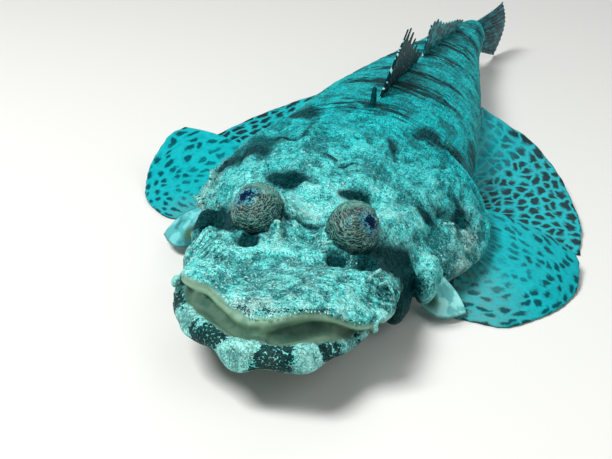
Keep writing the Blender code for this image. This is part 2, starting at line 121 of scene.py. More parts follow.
# Half width of the head, upper jaw in front, rounded off behind as the edges of the gill covers
HEAD_WIDTH = profile(
    (6, 4), (9, 10), (14, 15.5), (19, 21), (24, 29), (27.5, 38), (31, 44), (36, 46.5), (50, 49), (68, 50.5), (85, 50),
    (100, 54), (119, 65.5), (135, 75), (152, 81.5), (168, 83.5), (185, 80),
)
COVER_WIDTH = profile((185, 80), (192, 76.5), (198, 69), (202, 58), (204, 44))
CROWN_Z = profile((6, 42.5), (20, 46), (50, 48), (85, 50), (120, 60), (150, 67), (185, 71))
HEAD_SIDE_Z = profile(
    (6, 39.5), (30, 39.5), (50, 36), (68, 31.5), (85, 29), (100, 27), (120, 22), (150, 21), (168, 22), (185, 25),
)
THROAT_Z = profile((75, 9.5), (100, 4), (130, -3), (185, -3))

# Lower jaw: outer half width, inner edge of the rim and underside
JAW_WIDTH = profile(
    (-3, 6), (-2, 12), (0, 17.5), (4, 24.5), (8, 29.2), (14, 34), (20, 37.8), (30, 42.8), (40, 46), (50, 48), (75, 49),
)
RIM_INNER = profile((2, 0), (2.5, 6), (4, 12), (7, 17.5), (10, 21.5), (14, 27), (20, 32), (26, 37), (35, 41), (75, 42))
KEEL_Z = profile((-3, 21.5), (10, 19.5), (30, 16.5), (75, 9.5))
LIP_TOP = profile((6, 42.8), (12, 42.6), (20, 41.4), (30, 40.4), (46, 38.5))

# Torso and tail
BODY_WIDTH = profile(
    (185, 66), (210, 64), (270, 59), (340, 48.5), (400, 38), (450, 29), (500, 21.2), (535, 16), (553, 12), (562, 4),
)
BACK_Z = profile(
    (185, 71), (210, 74), (250, 73.5), (320, 70), (360, 67), (420, 61.5), (490, 55), (540, 50), (553, 49.3),
    (559, 47.4), (562, 43.5),
)
BODY_SIDE_Z = profile((185, 27), (210, 31), (250, 34), (360, 37), (490, 35), (562, 35.5))
BELLY_Z = profile(
    (185, -2), (320, -2), (345, 0), (400, 5), (450, 11), (490, 15), (540, 20), (553, 21), (559, 23), (562, 27),
)

# How far the front of the upper and lower jaw stands above its solid, from the fish's right to its left
LIP_LIFT = profile(
    (-40, 0), (-30, 0.6), (-23, -1.8), (-14.8, -2.2), (-5.4, -0.7), (1, 1), (6, 2), (11, 3.1), (19, 3), (24, 1.7),
    (29, 0.2), (35.3, -2.1), (39.4, -3.3), (48, -3.3),
)
JAW_LIFT = profile((-45, 1), (-35, 1.8), (-20, 2.4), (0, 2.4), (20, 2.2), (28, 1.2), (36, -1), (43, -2))


def ease(start, end, x):
    """Rise smoothly from 0 at start to 1 at end."""
    t = np.clip((x - start) / (end - start), 0, 1)
    return t * t * (3 - 2 * t)


def heading(s):
    """Angle of the midline from +Y, turning toward +X."""
    return NECK_TURN * ease(0.09, 0.22, s) + TAIL_TURN * ease(0.46, 0.62, s)


MIDLINE_S = np.arange(-0.02, 0.72, 0.001)
MIDLINE_X = START_X + np.cumsum(np.sin(heading(MIDLINE_S))) * 0.001
MIDLINE_Y = -0.02 + np.cumsum(np.cos(heading(MIDLINE_S))) * 0.001 - 0.001


def midline_place(s, u, z):
    """Turn body measures into points, before the model was centred."""
    turn = heading(s)
    x = np.interp(s, MIDLINE_S, MIDLINE_X) + u * np.cos(turn)
    y = np.interp(s, MIDLINE_S, MIDLINE_Y) - u * np.sin(turn)
    return np.stack(np.broadcast_arrays(x, y, z), axis=-1)


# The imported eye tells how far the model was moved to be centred
ORIGIN = np.mean(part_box("eye_left"), axis=0) - midline_place(EYE_S, EYE_U, EYE_Z)


def place(s, u, z):
    """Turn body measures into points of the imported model."""
    return midline_place(s, u, z) + ORIGIN


def measure(points):
    """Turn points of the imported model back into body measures."""
    x, y, z = (points - ORIGIN).T
    s = y.copy()
    u = x.copy()
    for _ in range(8):
        turn = heading(s)
        aside = x - np.interp(s, MIDLINE_S, MIDLINE_X)
        along = y - np.interp(s, MIDLINE_S, MIDLINE_Y)
        s = s + aside * np.sin(turn) + along * np.cos(turn)
        u = aside * np.cos(turn) - along * np.sin(turn)
    return s, u, z


def dome(x, power, root):
    """Height of a rounded section, 1 in the middle and 0 at x = 1."""
    return np.clip(1 - np.abs(x) ** power, 0, 1) ** (1 / root)


def bell(x, at, breadth, power=2):
    """A soft hill over x, 1 at its place; a higher power makes its top flatter."""
    return np.exp(-(((x - at) / breadth) ** power))


def hill(s, u, at_s, at_u, along, across):
    """A soft hill on one side."""
    return np.exp(-(((s - at_s) / along) ** 2) - ((u - at_u) / across) ** 2)


def bump(s, u, at_s, at_u, along, across=None):
    """A soft hill on both sides of the midline."""
    return hill(s, np.abs(u), at_s, at_u, along, across or along)


def mound(s, u, at_s, at_u, spread):
    """A flat-topped hill on both sides of the midline."""
    return np.exp(-((((s - at_s) ** 2 + (np.abs(u) - at_u) ** 2) / spread**2) ** 2))


def ridge(s, u, start, end, from_u, to_u, breadth):
    """A soft line of height on both sides, running from one place to another."""
    line = from_u + (to_u - from_u) * (s - start) / (end - start)
    reach = ease(start - 0.006, start + 0.006, s) * (1 - ease(end - 0.006, end + 0.006, s))
    return reach * bell(np.abs(u), line, breadth)


def stroke(s, u, from_s, from_u, to_s, to_u, breadth):
    """A soft line between two places, 1 along its middle."""
    along, aside = to_s - from_s, to_u - from_u
    t = np.clip(((s - from_s) * along + (u - from_u) * aside) / (along**2 + aside**2), 0, 1)
    return np.exp(-((s - from_s - t * along) ** 2 + (u - from_u - t * aside) ** 2) / breadth**2)


def waves(x, period, sway):
    """Even waves over x, pushed to and fro by sway."""
    return np.sin(2 * math.pi * x / period + sway)


def front_lift(s, u, lift):
    """The lift of a jaw, fading out toward the cheeks."""
    return lift(u) * (1 - ease(0.03, 0.07, s))


# Hollows and ridges of the head: kind, height, and the measures of that kind, all in millimetres
HEAD_FORMS = (
    (bump, -3.2, 71.5, 24, 5, 11), (stroke, -5, 70, 34, 106, 56, 6.2), (stroke, -5.5, 81, -37, 106, -56, 6),
    (stroke, 3, 66, -34, 74, -48, 5), (bump, 2.5, 72, 12, 6), (bump, -4.5, 112, 22, 9), (bump, -2.5, 85, 0, 20, 6),
    (bump, -2, 140, 0, 30, 8), (ridge, 2.5, 118, 180, 16, 24, 5), (ridge, 3.5, 98, 180, 36, 58, 6),
    (ridge, 3, 45, 110, 36, 47, 5), (ridge, -3, 70, 130, 44, 60, 5),
)


def head_top(s, u):
    """Upper surface of the head with its mounds, pits and ridges."""
    x = u / HEAD_WIDTH(s)
    back = ease(0.06, 0.13, s)
    arch = dome(x, 3.4 - 1.3 * back, 2.0 - 0.5 * back)
    z = HEAD_SIDE_Z(s) + (CROWN_Z(s) - HEAD_SIDE_Z(s)) * arch
    form = 0.0085 * mound(s, u, EYE_S + 0.002, EYE_U, 0.0175)
    for kind, tall, *measures in HEAD_FORMS:
        form += tall / 1000 * kind(s, u, *(np.array(measures) / 1000))
    for pit_s, pit_u in PITS:
        form -= 0.0022 * hill(s, u, pit_s, pit_u, 0.006, 0.006)
    form += 0.0015 * (1 - ease(0.03, 0.06, s)) * bell(np.abs(x), 0.9, 0.07)
    return z + form * (1 - np.abs(np.clip(x, -1, 1)) ** 8) + front_lift(s, u, LIP_LIFT)


def head_under(s, u):
    """Roof of the mouth in front, and the throat behind it, flat where it lies on the floor."""
    x = u / HEAD_WIDTH(s)
    side = HEAD_SIDE_Z(s)
    roof = side - (side - PALATE_Z) * dome(x, 8, 2) + PALATE_RISE * (1 - x * x) * ease(0.012, 0.04, s)
    roof = roof + front_lift(s, u, LIP_LIFT)
    throat = np.maximum(0, side - (side - THROAT_Z(s)) * dome(x, 3, 1.5))
    return np.where(s < JAW_END + 0.0004, roof, throat)


def jaw_round(s):
    """Rounding of the chin toward its tip."""
    t = np.clip((s - CHIN_TIP + 0.0008) / 0.006, 0, 1)
    return np.sqrt(1 - (1 - t) ** 2)


def jaw_shift(s):
    """How far the lower jaw is skewed sideways."""
    return JAW_SHIFT * (ease(-0.003, 0.03, s) - ease(0.045, 0.075, s))


def rim_inside(s, u):
    """Distance in from the inner edge of the lower lip, which is thicker on the fish's right."""
    return RIM_INNER(s) - np.abs(u) - 0.0028 * ease(0.008, 0.024, -u) * (1 - ease(0.03, 0.045, s))


def jaw_roll(s, u):
    """How far the lower jaw is rolled, and dropped in front where the mouth stands open."""
    return JAW_ROLL * u * (1 - ease(0.02, 0.05, s)) - JAW_DROP * (1 - ease(0.028, 0.046, s))


def jaw_top(s, u):
    """Rim of the lower jaw and the hollow floor of the mouth inside it."""
    rim = RIM_Z + (PALATE_Z - LIP_GAP - RIM_Z) * ease(0.028, 0.046, s)
    section = jaw_round(s) * dome(u / JAW_WIDTH(s), 6, 2)
    z = JAW_SIDE_Z + (rim - JAW_SIDE_Z) * section + jaw_roll(s, u) + front_lift(s, u, JAW_LIFT)
    inner = rim_inside(s, u)
    z = z - MOUTH_DEPTH * ease(0.0, 0.01, inner)
    behind_lip = ease(0.55, 1.5, inner / np.maximum(RIM_INNER(s) - HEAD_WIDTH(s), 0.003))
    return z + (head_under(s, u) + LIP_GAP - z) * behind_lip * (1 - ease(0.05, 0.07, s))


def jaw_under(s, u):
    """Underside of the lower jaw with two chin bumps."""
    chin = 0.0015 * bump(s, u, 0.002, 0.0135, 0.006)
    section = jaw_round(s) * dome(u / JAW_WIDTH(s), 2.6, 1.4)
    return JAW_SIDE_Z - (JAW_SIDE_Z - KEEL_Z(s) + chin) * section + jaw_roll(s, u) + front_lift(s, u, JAW_LIFT)


def body_top(s, u):
    """Back of the torso and tail."""
    side = BODY_SIDE_Z(s)
    return side + (BACK_Z(s) - side) * dome(u / BODY_WIDTH(s), 2.0, 1.9)


def body_under(s, u):
    """Belly of the torso and tail, flat where it lies on the floor."""
    side = BODY_SIDE_Z(s)
    return np.maximum(0, side - (side - BELLY_Z(s)) * dome(u / BODY_WIDTH(s), 2.4, 1.6))


def scatter(cell, seed):
    """A repeatable random number from 0 to 1 for each whole-numbered cell."""
    mixed = np.sin(cell @ np.array([127.1, 311.7, 74.7])[: cell.shape[-1]] + 17.3 * seed) * 43758.5453
    return mixed - np.floor(mixed)


def clouds(points, size, seed=0, octaves=2):
    """Soft noise from about -1 to 1 with lumps of the given size in metres."""
    total = np.zeros(len(points))
    for octave in range(octaves):
        spot = points / size * 2.0**octave + 31.7 * octave + 5.3 * seed
        cell = np.floor(spot)
        part = spot - cell
        part = part * part * (3 - 2 * part)
        value = np.zeros(len(points))
        for corner in itertools.product((0, 1), repeat=points.shape[1]):
            weight = np.prod(np.where(np.array(corner) == 1, part, 1 - part), axis=-1)
            value += weight * scatter(cell + corner, seed)
        total += (2 * value - 1) / 1.8**octave
    return total


# Mesh helpers
def add_grid(name, columns, rows):
    """A flat square of quads, one unit across, ready to be shaped."""
    bpy.ops.mesh.primitive_grid_add(x_subdivisions=columns, y_subdivisions=rows, size=1.0)
    made = bpy.context.object
    made.name = name
    made.data.name = name
    return made


def points_of(made, parts="vertices", what="co"):
    """Every vertex of a piece, or its normal, as rows of x, y, z."""
    flat = np.empty(len(made.data.vertices) * 3)
    getattr(made.data, parts).foreach_get(what, flat)
    return flat.reshape(-1, 3)


def move_points(made, points):
    """Put every vertex of a piece at its new place."""
    made.data.vertices.foreach_set("co", np.ascontiguousarray(points, dtype=np.float32).ravel())
    made.data.update()


def store(made, name, values):
    """Keep one number a vertex for the piece's material."""
    layer = made.data.attributes.new(name, "FLOAT", "POINT")
    layer.data.foreach_set("value", np.ascontiguousarray(values, dtype=np.float32))


def store_map(made, name, across, along):
    """Keep two measures a vertex as a UV map, so that a pattern follows the surface."""
    layer = made.data.uv_layers.new(name=name)
    corner = np.empty(len(made.data.loops), dtype=np.int32)
    made.data.loops.foreach_get("vertex_index", corner)
    layer.data.foreach_set("uv", np.stack((across, along), axis=-1)[corner].astype(np.float32).ravel())


def apply_step(made, kind, **settings):
    """Add a modifier with its settings and apply it."""
    bpy.context.view_layer.objects.active = made
    step = made.modifiers.new(kind.title(), kind)
    for name, value in settings.items():
        setattr(step, name, value)
    bpy.ops.object.modifier_apply(modifier=step.name)


def join(pieces, name):
    """Make one object of several."""
    bpy.ops.object.select_all(action="DESELECT")
    for piece in pieces:
        piece.select_set(True)
    bpy.context.view_layer.objects.active = pieces[0]
    bpy.ops.object.transform_apply(location=True, rotation=True, scale=True)
    bpy.ops.object.join()
    pieces[0].name = name
    pieces[0].data.name = name
    return pieces[0]


def seal(made):
    """Merge the seam of a rolled grid, cap its ends and turn its faces outward."""
    bpy.context.view_layer.objects.active = made
    bpy.ops.object.mode_set(mode="EDIT")
    bpy.ops.mesh.select_all(action="SELECT")
    bpy.ops.mesh.remove_doubles(threshold=1e-6)
    bpy.ops.mesh.fill_holes(sides=0)
    bpy.ops.mesh.select_all(action="SELECT")
    bpy.ops.mesh.normals_make_consistent(inside=False)
    bpy.ops.object.mode_set(mode="OBJECT")


def smooth_shade(made):
    """Shade a piece as one soft surface."""
    made.data.polygons.foreach_set("use_smooth", np.ones(len(made.data.polygons), dtype=bool))
    made.data.update()


def wear(made, finish):
    """Give a piece its one material."""
    made.data.materials.clear()
    made.data.materials.append(finish)


def keep_inside(points, margin=0.0001):
    """Hold points inside the box of the solids."""
    low, high = np.array(SOLID_BOX)
    return np.clip(points, low + margin, high - margin)


def add_block(name, stations, half_width, top, under, shift=None, columns=240):
    """A closed length of the animal: a grid rolled round its sections and capped at both ends."""
    made = add_grid(name, columns, len(stations) - 1)
    flat = points_of(made)
    across = flat[:, 0] + 0.5
    s = np.interp(flat[:, 1] + 0.5, np.linspace(0, 1, len(stations)), stations)
    u = half_width(s) * np.cos(2 * math.pi * across)
    z = np.where(across < 0.5001, top(s, u), under(s, u))
    aside = shift(s) if shift else 0.0
    move_points(made, place(s, u + aside, z))
    seal(made)
    return made


def add_ball(centre, radii):
    """A stretched ball."""
    bpy.ops.mesh.primitive_uv_sphere_add(segments=48, ring_count=32, radius=1.0, location=centre, scale=radii)
    return bpy.context.object


# Skin: forms too fine for the solids
KNOBS = np.array((
    (118, 12, 1.4, 2.2), (134, 38, 2.4, 2), (121, 35, 1.4, 1.8), (133, 19, 1.2, 2.2), (149, 21, 1.4, 2.2),
    (166, 24, 1.6, 2.4), (182, 27, 1.2, 2.2), (147, 45, 1.4, 2), (160, 50, 1.4, 2), (174, 55, 1.4, 2.2),
    (196.5, 48.5, 2, 3.2), (102, 34, 1.2, 1.8), (111, 38, 1.2, 1.8), (101, 14, 1.2, 1.8), (129, 58, 1.6, 2.2),
    (140, 66, 1.4, 2), (152, 72, 1.6, 2.2), (56, 30, 1, 2.2),
)) / 1000
# Jaw bars in degrees round the chin, positive toward the fish's left
JAW_BARS = ((-112, -74), (-47, -13), (10, 31), (51, 70), (84, 95))


def jaw_angle(s, u):
    """Angle round the lower jaw in degrees, 0 at the chin."""
    return np.degrees(np.arctan2(u + 0.004, 0.035 - s))


def bars(angle):
    """1 inside the dark bars of the lower jaw, 0 between them."""
    soft = 2.5
    inside = [
        ease(start - soft, start + soft, angle) * (1 - ease(end - soft, end + soft, angle)) for start, end in JAW_BARS
    ]
    return np.max(inside, axis=0)


# Angle, spread in degrees and height of the lobes and notches under the lower lip
JAW_LOBES = np.array((
    (-4, 10, 2.4), (41, 9, 2.2), (19, 10, -1.6), (-27, 11, -1.8), (60, 8, -1.2), (-55, 9, 1),
)) / (1, 1, 1000)
# Scars, furrows and dark patches, with painted shade in the hollows behind the eyes, in the crease behind the head and
# on the shaded flank: from s, u to s, u, breadth, depth and darkness
MARKS = np.array((
    (164.6, -40, 159.5, -28, 1.4, 0.6, 0.8), (165.1, -26, 193, -26, 1.6, 0.6, 0.5),
    (144.9, -9, 142.1, -2, 1.8, -1, 0.85), (140.5, 1.6, 143.4, 8.9, 1.2, 0.6, 0.85),
    (176.3, 18.9, 156.3, 27.8, 2, 0.3, 0.7), (150, -47, 157, -70, 7.5, 1, 1.1), (162, -40, 170, -64, 7, 0, 0.65),
    (125.5, -30, 121.5, -14.5, 4.6, 0.4, 1.2), (116.5, 10, 120.5, 20, 3.8, 0.4, 1.2),
    (139, 55, 152, 70, 4.5, 1.2, 0.7), (152, 69, 160, 62, 4, 0.6, 0.8), (209, 57, 197.5, 32.5, 5.6, 0.6, 1.2),
    (209, -57, 197.5, -32.5, 5.6, 0.6, 1), (217, 54, 206, 35, 5, 0, 0.7), (217, -54, 206, -35, 5, 0, 0.6),
    (129.5, 49, 130.5, 53.5, 3.2, 0.6, 1.2), (123, 37, 134, 40, 4.6, 0.3, 0.45), (117.5, 60, 121.5, 69, 2.6, 1.4, 1.2),
    (117.5, -60, 121.5, -69, 2.6, 1.4, 1.2), (52, 42, 51, 56, 0.9, 1, 0.7), (56, 43, 55.5, 56, 0.8, 1, 0.6),
    (59.5, 44, 59.5, 56, 1, 1, 0.6), (64, 46, 64.5, 56, 0.8, 0.8, 0.4), (228, 60, 248, 59, 5.5, 0, 0.7),
    (166, 45, 182, 56, 2.5, 0.4, 0.5), (45, -33, 50, -20, 1.2, 0.4, 0.35), (50, 26, 56, 36, 1.4, 0.4, 0.3),
)) / ([1000] * 6 + [1])


def mouth_masks(s, u, z, up):
    """Upper head as against lower jaw, the cream lip band, the lining of the mouth, and how deep inside that is."""
    middle = 0.5 * (head_under(s, u) + jaw_top(s, u - jaw_shift(s)))
    in_outline = (1 - ease(0.001, 0.0025, np.abs(u) - HEAD_WIDTH(s))) * ease(0.003, 0.005, s)
    is_head = np.maximum(in_outline * ease(-0.00015, 0.00015, z - middle), ease(JAW_END, JAW_END + 0.003, s))
    level = z - front_lift(s, u, LIP_LIFT)
    front = 1 - ease(0.04, 0.05, s)
    lip = is_head * front * (1 - ease(-0.001, 0.0015, level - LIP_TOP(s) - 0.0022 * ease(0.01, 0.024, -u)))
    lip *= 1 - ease(0.044, 0.0456, np.abs(u))
    roof = is_head * (1 - ease(0.07, 0.076, s)) * (1 - ease(-0.5, -0.1, up)) * (1 - ease(0.0415, 0.0425, level))
    inner = rim_inside(s, u - jaw_shift(s))
    facing_up = np.maximum(ease(0.0, 0.4, up), ease(0.001, 0.0025, inner))
    floor = (1 - is_head) * ease(-0.0012, 0.001, inner) * facing_up * (1 - ease(0.075, 0.078, s))
    return is_head, lip, np.maximum(roof, floor), np.maximum(roof, ease(0.001, 0.008, inner))


def over_lip(s, u, z):
    """Height over the upper edge of the cream lip."""
    return z - LIP_TOP(s) - front_lift(s, u, LIP_LIFT)


def groove_at(side):
    """Where the groove between the eyes runs."""
    return 0.0915 - 0.007 * ease(0.002, 0.012, side)


def grit(points):
    """Lumps, creases and wrinkles of the hide, in metres."""
    s, u, z = measure(points)
    height = 0.0
    for lump, size, seed in ((0.0008, 0.012, 1), (0.0006, 0.005, 2), (0.00025, 0.0024, 3)):
        height += lump * clouds(points, size, seed)
    wrinkles = clouds(np.stack((s + 0.12 * np.abs(u), 0.3 * u, z), axis=-1), 0.004, 9)
    creases = [0.28 - np.abs(noise) for noise in (clouds(points, 0.0085, 4), clouds(points, 0.0042, 6), wrinkles)]
    height += 0.0014 * creases[0] + 0.0006 * creases[1]
    return height + 0.0008 * creases[2] * (1 - ease(0.075, 0.11, s))


def sculpt(points, normals):
    """Height in metres that the finished skin stands above or below the joined forms."""
    s, u, z = measure(points)
    up = normals[:, 2]
    side = np.abs(u)
    is_head, lip, lining, _ = mouth_masks(s, u, z, up)
    is_jaw = (1 - is_head) * (1 - ease(0.07, 0.08, s))
    head = 1 - ease(0.185, 0.206, s)
    top = ease(-0.2, 0.3, up)
    coarse = clouds(points, 0.011, 1)
    bare = (1 - lining) * (1 - 0.85 * lip) * head
    height = bare * (0.35 + 0.65 * top) * (1 - 0.55 * is_jaw) * grit(points)
    height += (1 - head) * (0.00035 * coarse + 0.0002 * clouds(points, 0.0046, 2))
    for at_s, at_u, tall, spread in KNOBS:
        height += 1.25 * tall * bump(s, u, at_s, at_u, spread) * top * (1 - is_jaw)
    for *line, deep, _ in MARKS:
        height -= deep * stroke(s, u, *line) * top
    # Pits before the eyes and hollows behind them
    for pit_s, pit_u in PITS:
        pit = np.hypot(s - pit_s, u - pit_u)
        rim = bell(pit, 0.0062, 0.0016) * ease(-0.004, 0.004, s - pit_s)
        height += (1 - is_jaw) * top * (0.0006 * rim - 0.0022 * bell(pit, 0, 0.0044))
    height -= 0.0026 * bump(s, u, 0.1195, 0.0205, 0.005, 0.007) * top
    # Groove between the eyes, and the frilled lobes at its sides
    height -= 0.0014 * bell(s, groove_at(side), 0.0014) * (1 - ease(0.01, 0.015, side)) * top
    height += 0.0012 * bell(np.hypot(s - 0.0745, side - 0.0125), 0.003, 0.0009) * top
    # Long wrinkles on the right cheek, upright ruffles on the left one and on the lower gill covers
    wrinkled = 0.00035 * stroke(s, u, 0.052, -0.032, 0.068, -0.048, 0.01)
    height += wrinkled * waves(side + 0.35 * s, 0.0024, 1.6 * coarse)
    ruffled = 0.0009 * (bump(s, u, 0.054, 0.045, 0.015, 0.008) * is_head * ease(0.0, 0.01, u))
    height += ruffled * waves(s + 0.35 * side, 0.003, 2.2 * coarse)
    ruffled = 0.0009 * (bump(s, u, 0.142, 0.074, 0.018, 0.008) * ease(-0.5, 0.2, up))
    height += ruffled * waves(s - 0.2 * side, 0.0042, 2.5 * coarse)
    # Cream lip with a groove over it, and the lobes of the lower lip
    height -= 0.0006 * bell(over_lip(s, u, z), 0, 0.0006) * (1 - ease(0.04, 0.05, s)) * is_head
    angle = jaw_angle(s, u)
    lobes = sum(tall * bell(angle, at, spread) for at, spread, tall in JAW_LOBES)
    height += is_jaw * (1 - lining) * lobes * (1 - ease(0.03, 0.05, s)) * (0.25 + 0.75 * (1 - ease(-0.5, 0.3, up)))
    # Rays of the gill covers
    spoke = np.arctan2(side - 0.046, s - 0.138)
    cover = ease(0.148, 0.165, s) * head * ease(0.04, 0.052, side)
    height += 0.0005 * cover * np.sin(18 * spoke + 1.5 * coarse)
    # Lateral line and rows of scales
    keel = 1 - np.mod(s / 0.0065, 1.0)
    height += (1 - head) * 0.0008 * bell(side / BODY_WIDTH(s), 0.56, 0.035) * keel * top
    return height + (1 - head) * 0.00016 * waves(s + 0.25 * side, 0.0044, 1.5 * coarse)


def marks_and_painted_shade(s, u, points):
    """Dark, soft-edged markings of the head and back, and painted shade in its pits, hollows and creases, from 0 to 1.
    """
    side = np.abs(u)
    streak = clouds(np.stack((s * 5.5, u * 0.7), axis=-1), 0.0135, 7, 4)
    patch = clouds(points, 0.009, 8, 3)
    # Painted shade in the pits, in the groove between the eyes and in the hollows between the cheeks and the gill
    # covers; the fold behind the left cheek is kept clear of it, and the fold behind the right cheek is shaded
    made = sum(1.4 * bell(np.hypot(s - pit_s - 0.0005, u - pit_u), 0, 0.0052, 4) for pit_s, pit_u in PITS)
    made += bell(s, groove_at(side), 0.002) * (1 - ease(0.011, 0.017, side))
    made += 1.4 * stroke(s, u, 0.07, 0.034, 0.096, 0.05, 0.007)
    made += 1.4 * stroke(s, u, 0.08, -0.036, 0.106, -0.056, 0.007)
    made -= 1.5 * bell(np.hypot(s - 0.108, u - 0.06), 0, 0.008, 4)
    made += 1.5 * bell(np.hypot(s - 0.108, u + 0.06), 0, 0.0085, 4)
    # A dark patch on the back of the head, and the dark lone spine
    made += 0.5 * bump(s, u, 0.169, 0.0246, 0.006, 0.004) + 1.4 * bump(s, u, 0.211, 0.0, 0.0046)
    # Dark stripes on the wrinkles of the right and left cheek, partly their own colour and partly painted shade in
    # their furrows
    sway = 1.2 * clouds(points, 0.011, 1)
    right = ease(0.1, 0.9, -np.sin((u - 0.35 * s) / 0.00055 + sway))
    left = ease(0.35, 1.0, np.sin((s - 0.3 * u) / 0.0006 + sway))
    made += 0.75 * stroke(s, u, 0.05, -0.036, 0.068, -0.05, 0.008) * right
    made += 0.75 * stroke(s, u, 0.046, 0.042, 0.064, 0.05, 0.0065) * left
    on_body = ease(0.15, 0.2, s)
    # Scars, furrows and dark patches, among them painted shade in hollows and creases
    for *line, _, dark in MARKS:
        mark = stroke(s, u, *line)
        made += dark * mark * ease(-1.1, -0.2 + 1.1 * on_body, patch + 0.8 * mark + 0.9 * on_body * streak)
    for at_s, long, reach, push in SADDLES:
        core = bell(s, at_s, long) * (1 - ease(0.55 * reach, 1.5 * reach, np.abs(u - push)))
        made += 1.05 * ease(0.22, 1.1, core + 0.8 * streak + 0.2 * patch) * core**0.4
    return np.clip(made, 0, 1)


# Dark saddles over the back: place along, half length, reach to each side and shift to the fish's left
SADDLES = np.array((
    (211, 11, 24, -3), (263, 13, 34, 5), (302, 10.5, 32, 6), (360, 15, 32, -4), (416, 14, 28, 2), (470, 15, 26, 0),
    (528, 13, 18, 0),
)) / 1000


def paint_skin(made):
    """Keep the body measures and the painted masks on the skin."""
    points = points_of(made)
    up = points_of(made, "vertex_normals", "vector")[:, 2]
    s, u, z = measure(points)
    is_head, lip, lining, inside = mouth_masks(s, u, z, up)
    is_jaw = (1 - is_head) * (1 - ease(0.06, 0.075, s))
    front = 1 - ease(0.04, 0.05, s)
    medium = clouds(points, 0.005, 2, 3)
    over = over_lip(s, u, z)
    near = np.min([eye_gap(points, hand) for hand in (-1, 1)], axis=0)
    # Dark markings, with painted shade in the pits, hollows and creases
    dark = marks_and_painted_shade(s, u, points) * (1 - is_jaw) * ease(-0.3, 0.2, up)
    # Painted contact shadow where the front of each eye meets the skin
    dark = np.maximum(dark, 0.9 * bell(near, 0, 0.0011) * (1 - ease(0.004, 0.012, s - EYE_S)))
    # Painted shade under the cheeks, over the hinges of the jaw
    hinge = np.clip(2 * stroke(s, np.abs(u), 0.08, 0.048, 0.098, 0.05, 0.008), 0, 1)
    dark = np.maximum(dark, hinge * (1 - ease(0.026, 0.034, z)))
    knob = is_head * hill(s, u, 0.014, -0.006, 0.009, 0.014)
    cover = bump(s, u, 0.146, 0.073, 0.024, 0.01)
    brow = hill(s, u, 0.095, -0.004, 0.0045, 0.011)
    tint = 0.75 * knob + 0.85 * cover + 0.55 * brow + 0.6 * bump(s, u, 0.069, 0.012, 0.0045, 0.005)
    tint += 0.08 * front * is_head
    # The three pads at the corners of the mouth are pale and without pepper
    corners = [(np.linalg.norm(points - place(*pad[:3]), axis=1), pad[4]) for pad in PADS[:3]]
    lid = bell(near, 0.001, 0.0009) * ease(0.1, 0.5, up) * ease(0.002, 0.008, s - EYE_S)
    lid = np.max([lid] + [0.9 * bell(away, 0, 1.1 * long, 4) for away, long in corners], axis=0)
    nub = np.max([bell(away, 0, 1.3 * long, 6) for away, long in corners], axis=0)
    bar = bars(jaw_angle(s, u) + 8 * medium)
    pepper = 0.13 + 0.12 * medium
    pepper += 0.52 * front * is_head * bell(over, 0.0016, 0.0011) * ease(-0.022, -0.012, u)
    pepper += 0.22 * knob + 0.12 * cover
    pepper = pepper * (1 - is_jaw) + is_jaw * (0.14 + 0.12 * medium + 0.92 * bar * (1 - ease(0.06, 0.075, s)))
    paler = 0.45 * is_head * hill(s, u, 0.03, 0.0, 0.017, 0.03) + 0.9 * bump(s, u, 0.134, 0.075, 0.016, 0.009)
    store_map(made, "body", u, s)
    for name, values in {
        "lip": np.clip(lip + lining, 0, 1),
        "lip_edge": ease(-0.004, -0.0008, over),
        "lining": lining,
        # Painted shade: the lining darkens deeper in the mouth and toward the fish's right
        "inside": np.clip(inside + 0.8 * ease(0.008, 0.026, -u), 0, 1),
        "shade": dark * (1 - lip) * (1 - lining),
        "grey": np.clip(tint * (1 + 0.7 * medium), 0, 1),
        "lid": lid,
        "pepper": np.clip(pepper * (1 - lip) * (1 - lining) * (1 - nub), 0, 1),
        "paler": np.clip(is_jaw * (1 - bar) + paler * (1 + 0.6 * medium), 0, 1),
        "rear": ease(0.07, 0.21, s),
        "belly": (1 - ease(-0.85, -0.5, up)) * (1 - ease(0.003, 0.012, z)),
    }.items():
        store(made, name, values)


def eye_centre(hand):
    """Middle of one eye; hand is 1 on the fish's left and -1 on its right."""
    return place(EYE_S, hand * EYE_U - 0.0018, EYE_Z)


def eye_reach(unit):
    """Distance from the middle of an eye to its surface: a ball drawn out toward its lower front."""
    droop = ease(-0.2, 1.0, unit @ np.array((0.0, -0.6, -0.8)))
    return EYE_RADIUS * (0.95 + 0.22 * droop)


def eye_gap(points, hand):
    """Distance of points outside the surface of one eye."""
    away = points - eye_centre(hand)
    far = np.linalg.norm(away, axis=1)
    return far - eye_reach(away / far[:, None])


# Fleshy pads that stand out from the sides of the head: s, u, z, and radii across, along and up
PADS = np.array((
    (37, -49, 35, 2.4, 3.6, 2.8), (35, 44.8, 33.5, 2.2, 2.8, 2.4), (41, 47.5, 37.5, 2.6, 3.8, 3.4),  # mouth corners
    (64, 43.5, 31, 7, 10, 9.5), (64, -47, 33.5, 8, 12, 8.5), (73.5, -45, 37.5, 8, 10.5, 9),  # cheeks
    # The hinges of the jaw fill the shaded gap under the cheeks and are painted dark as shade
    (93, 47, 18, 7, 16.5, 12), (93, -47, 18, 7, 16.5, 12),  # hinges of the jaw
    (108, 59, 23.5, 6.8, 13, 12.5), (109, -60, 24, 6.8, 13, 13),  # folds behind the cheeks
)) / 1000


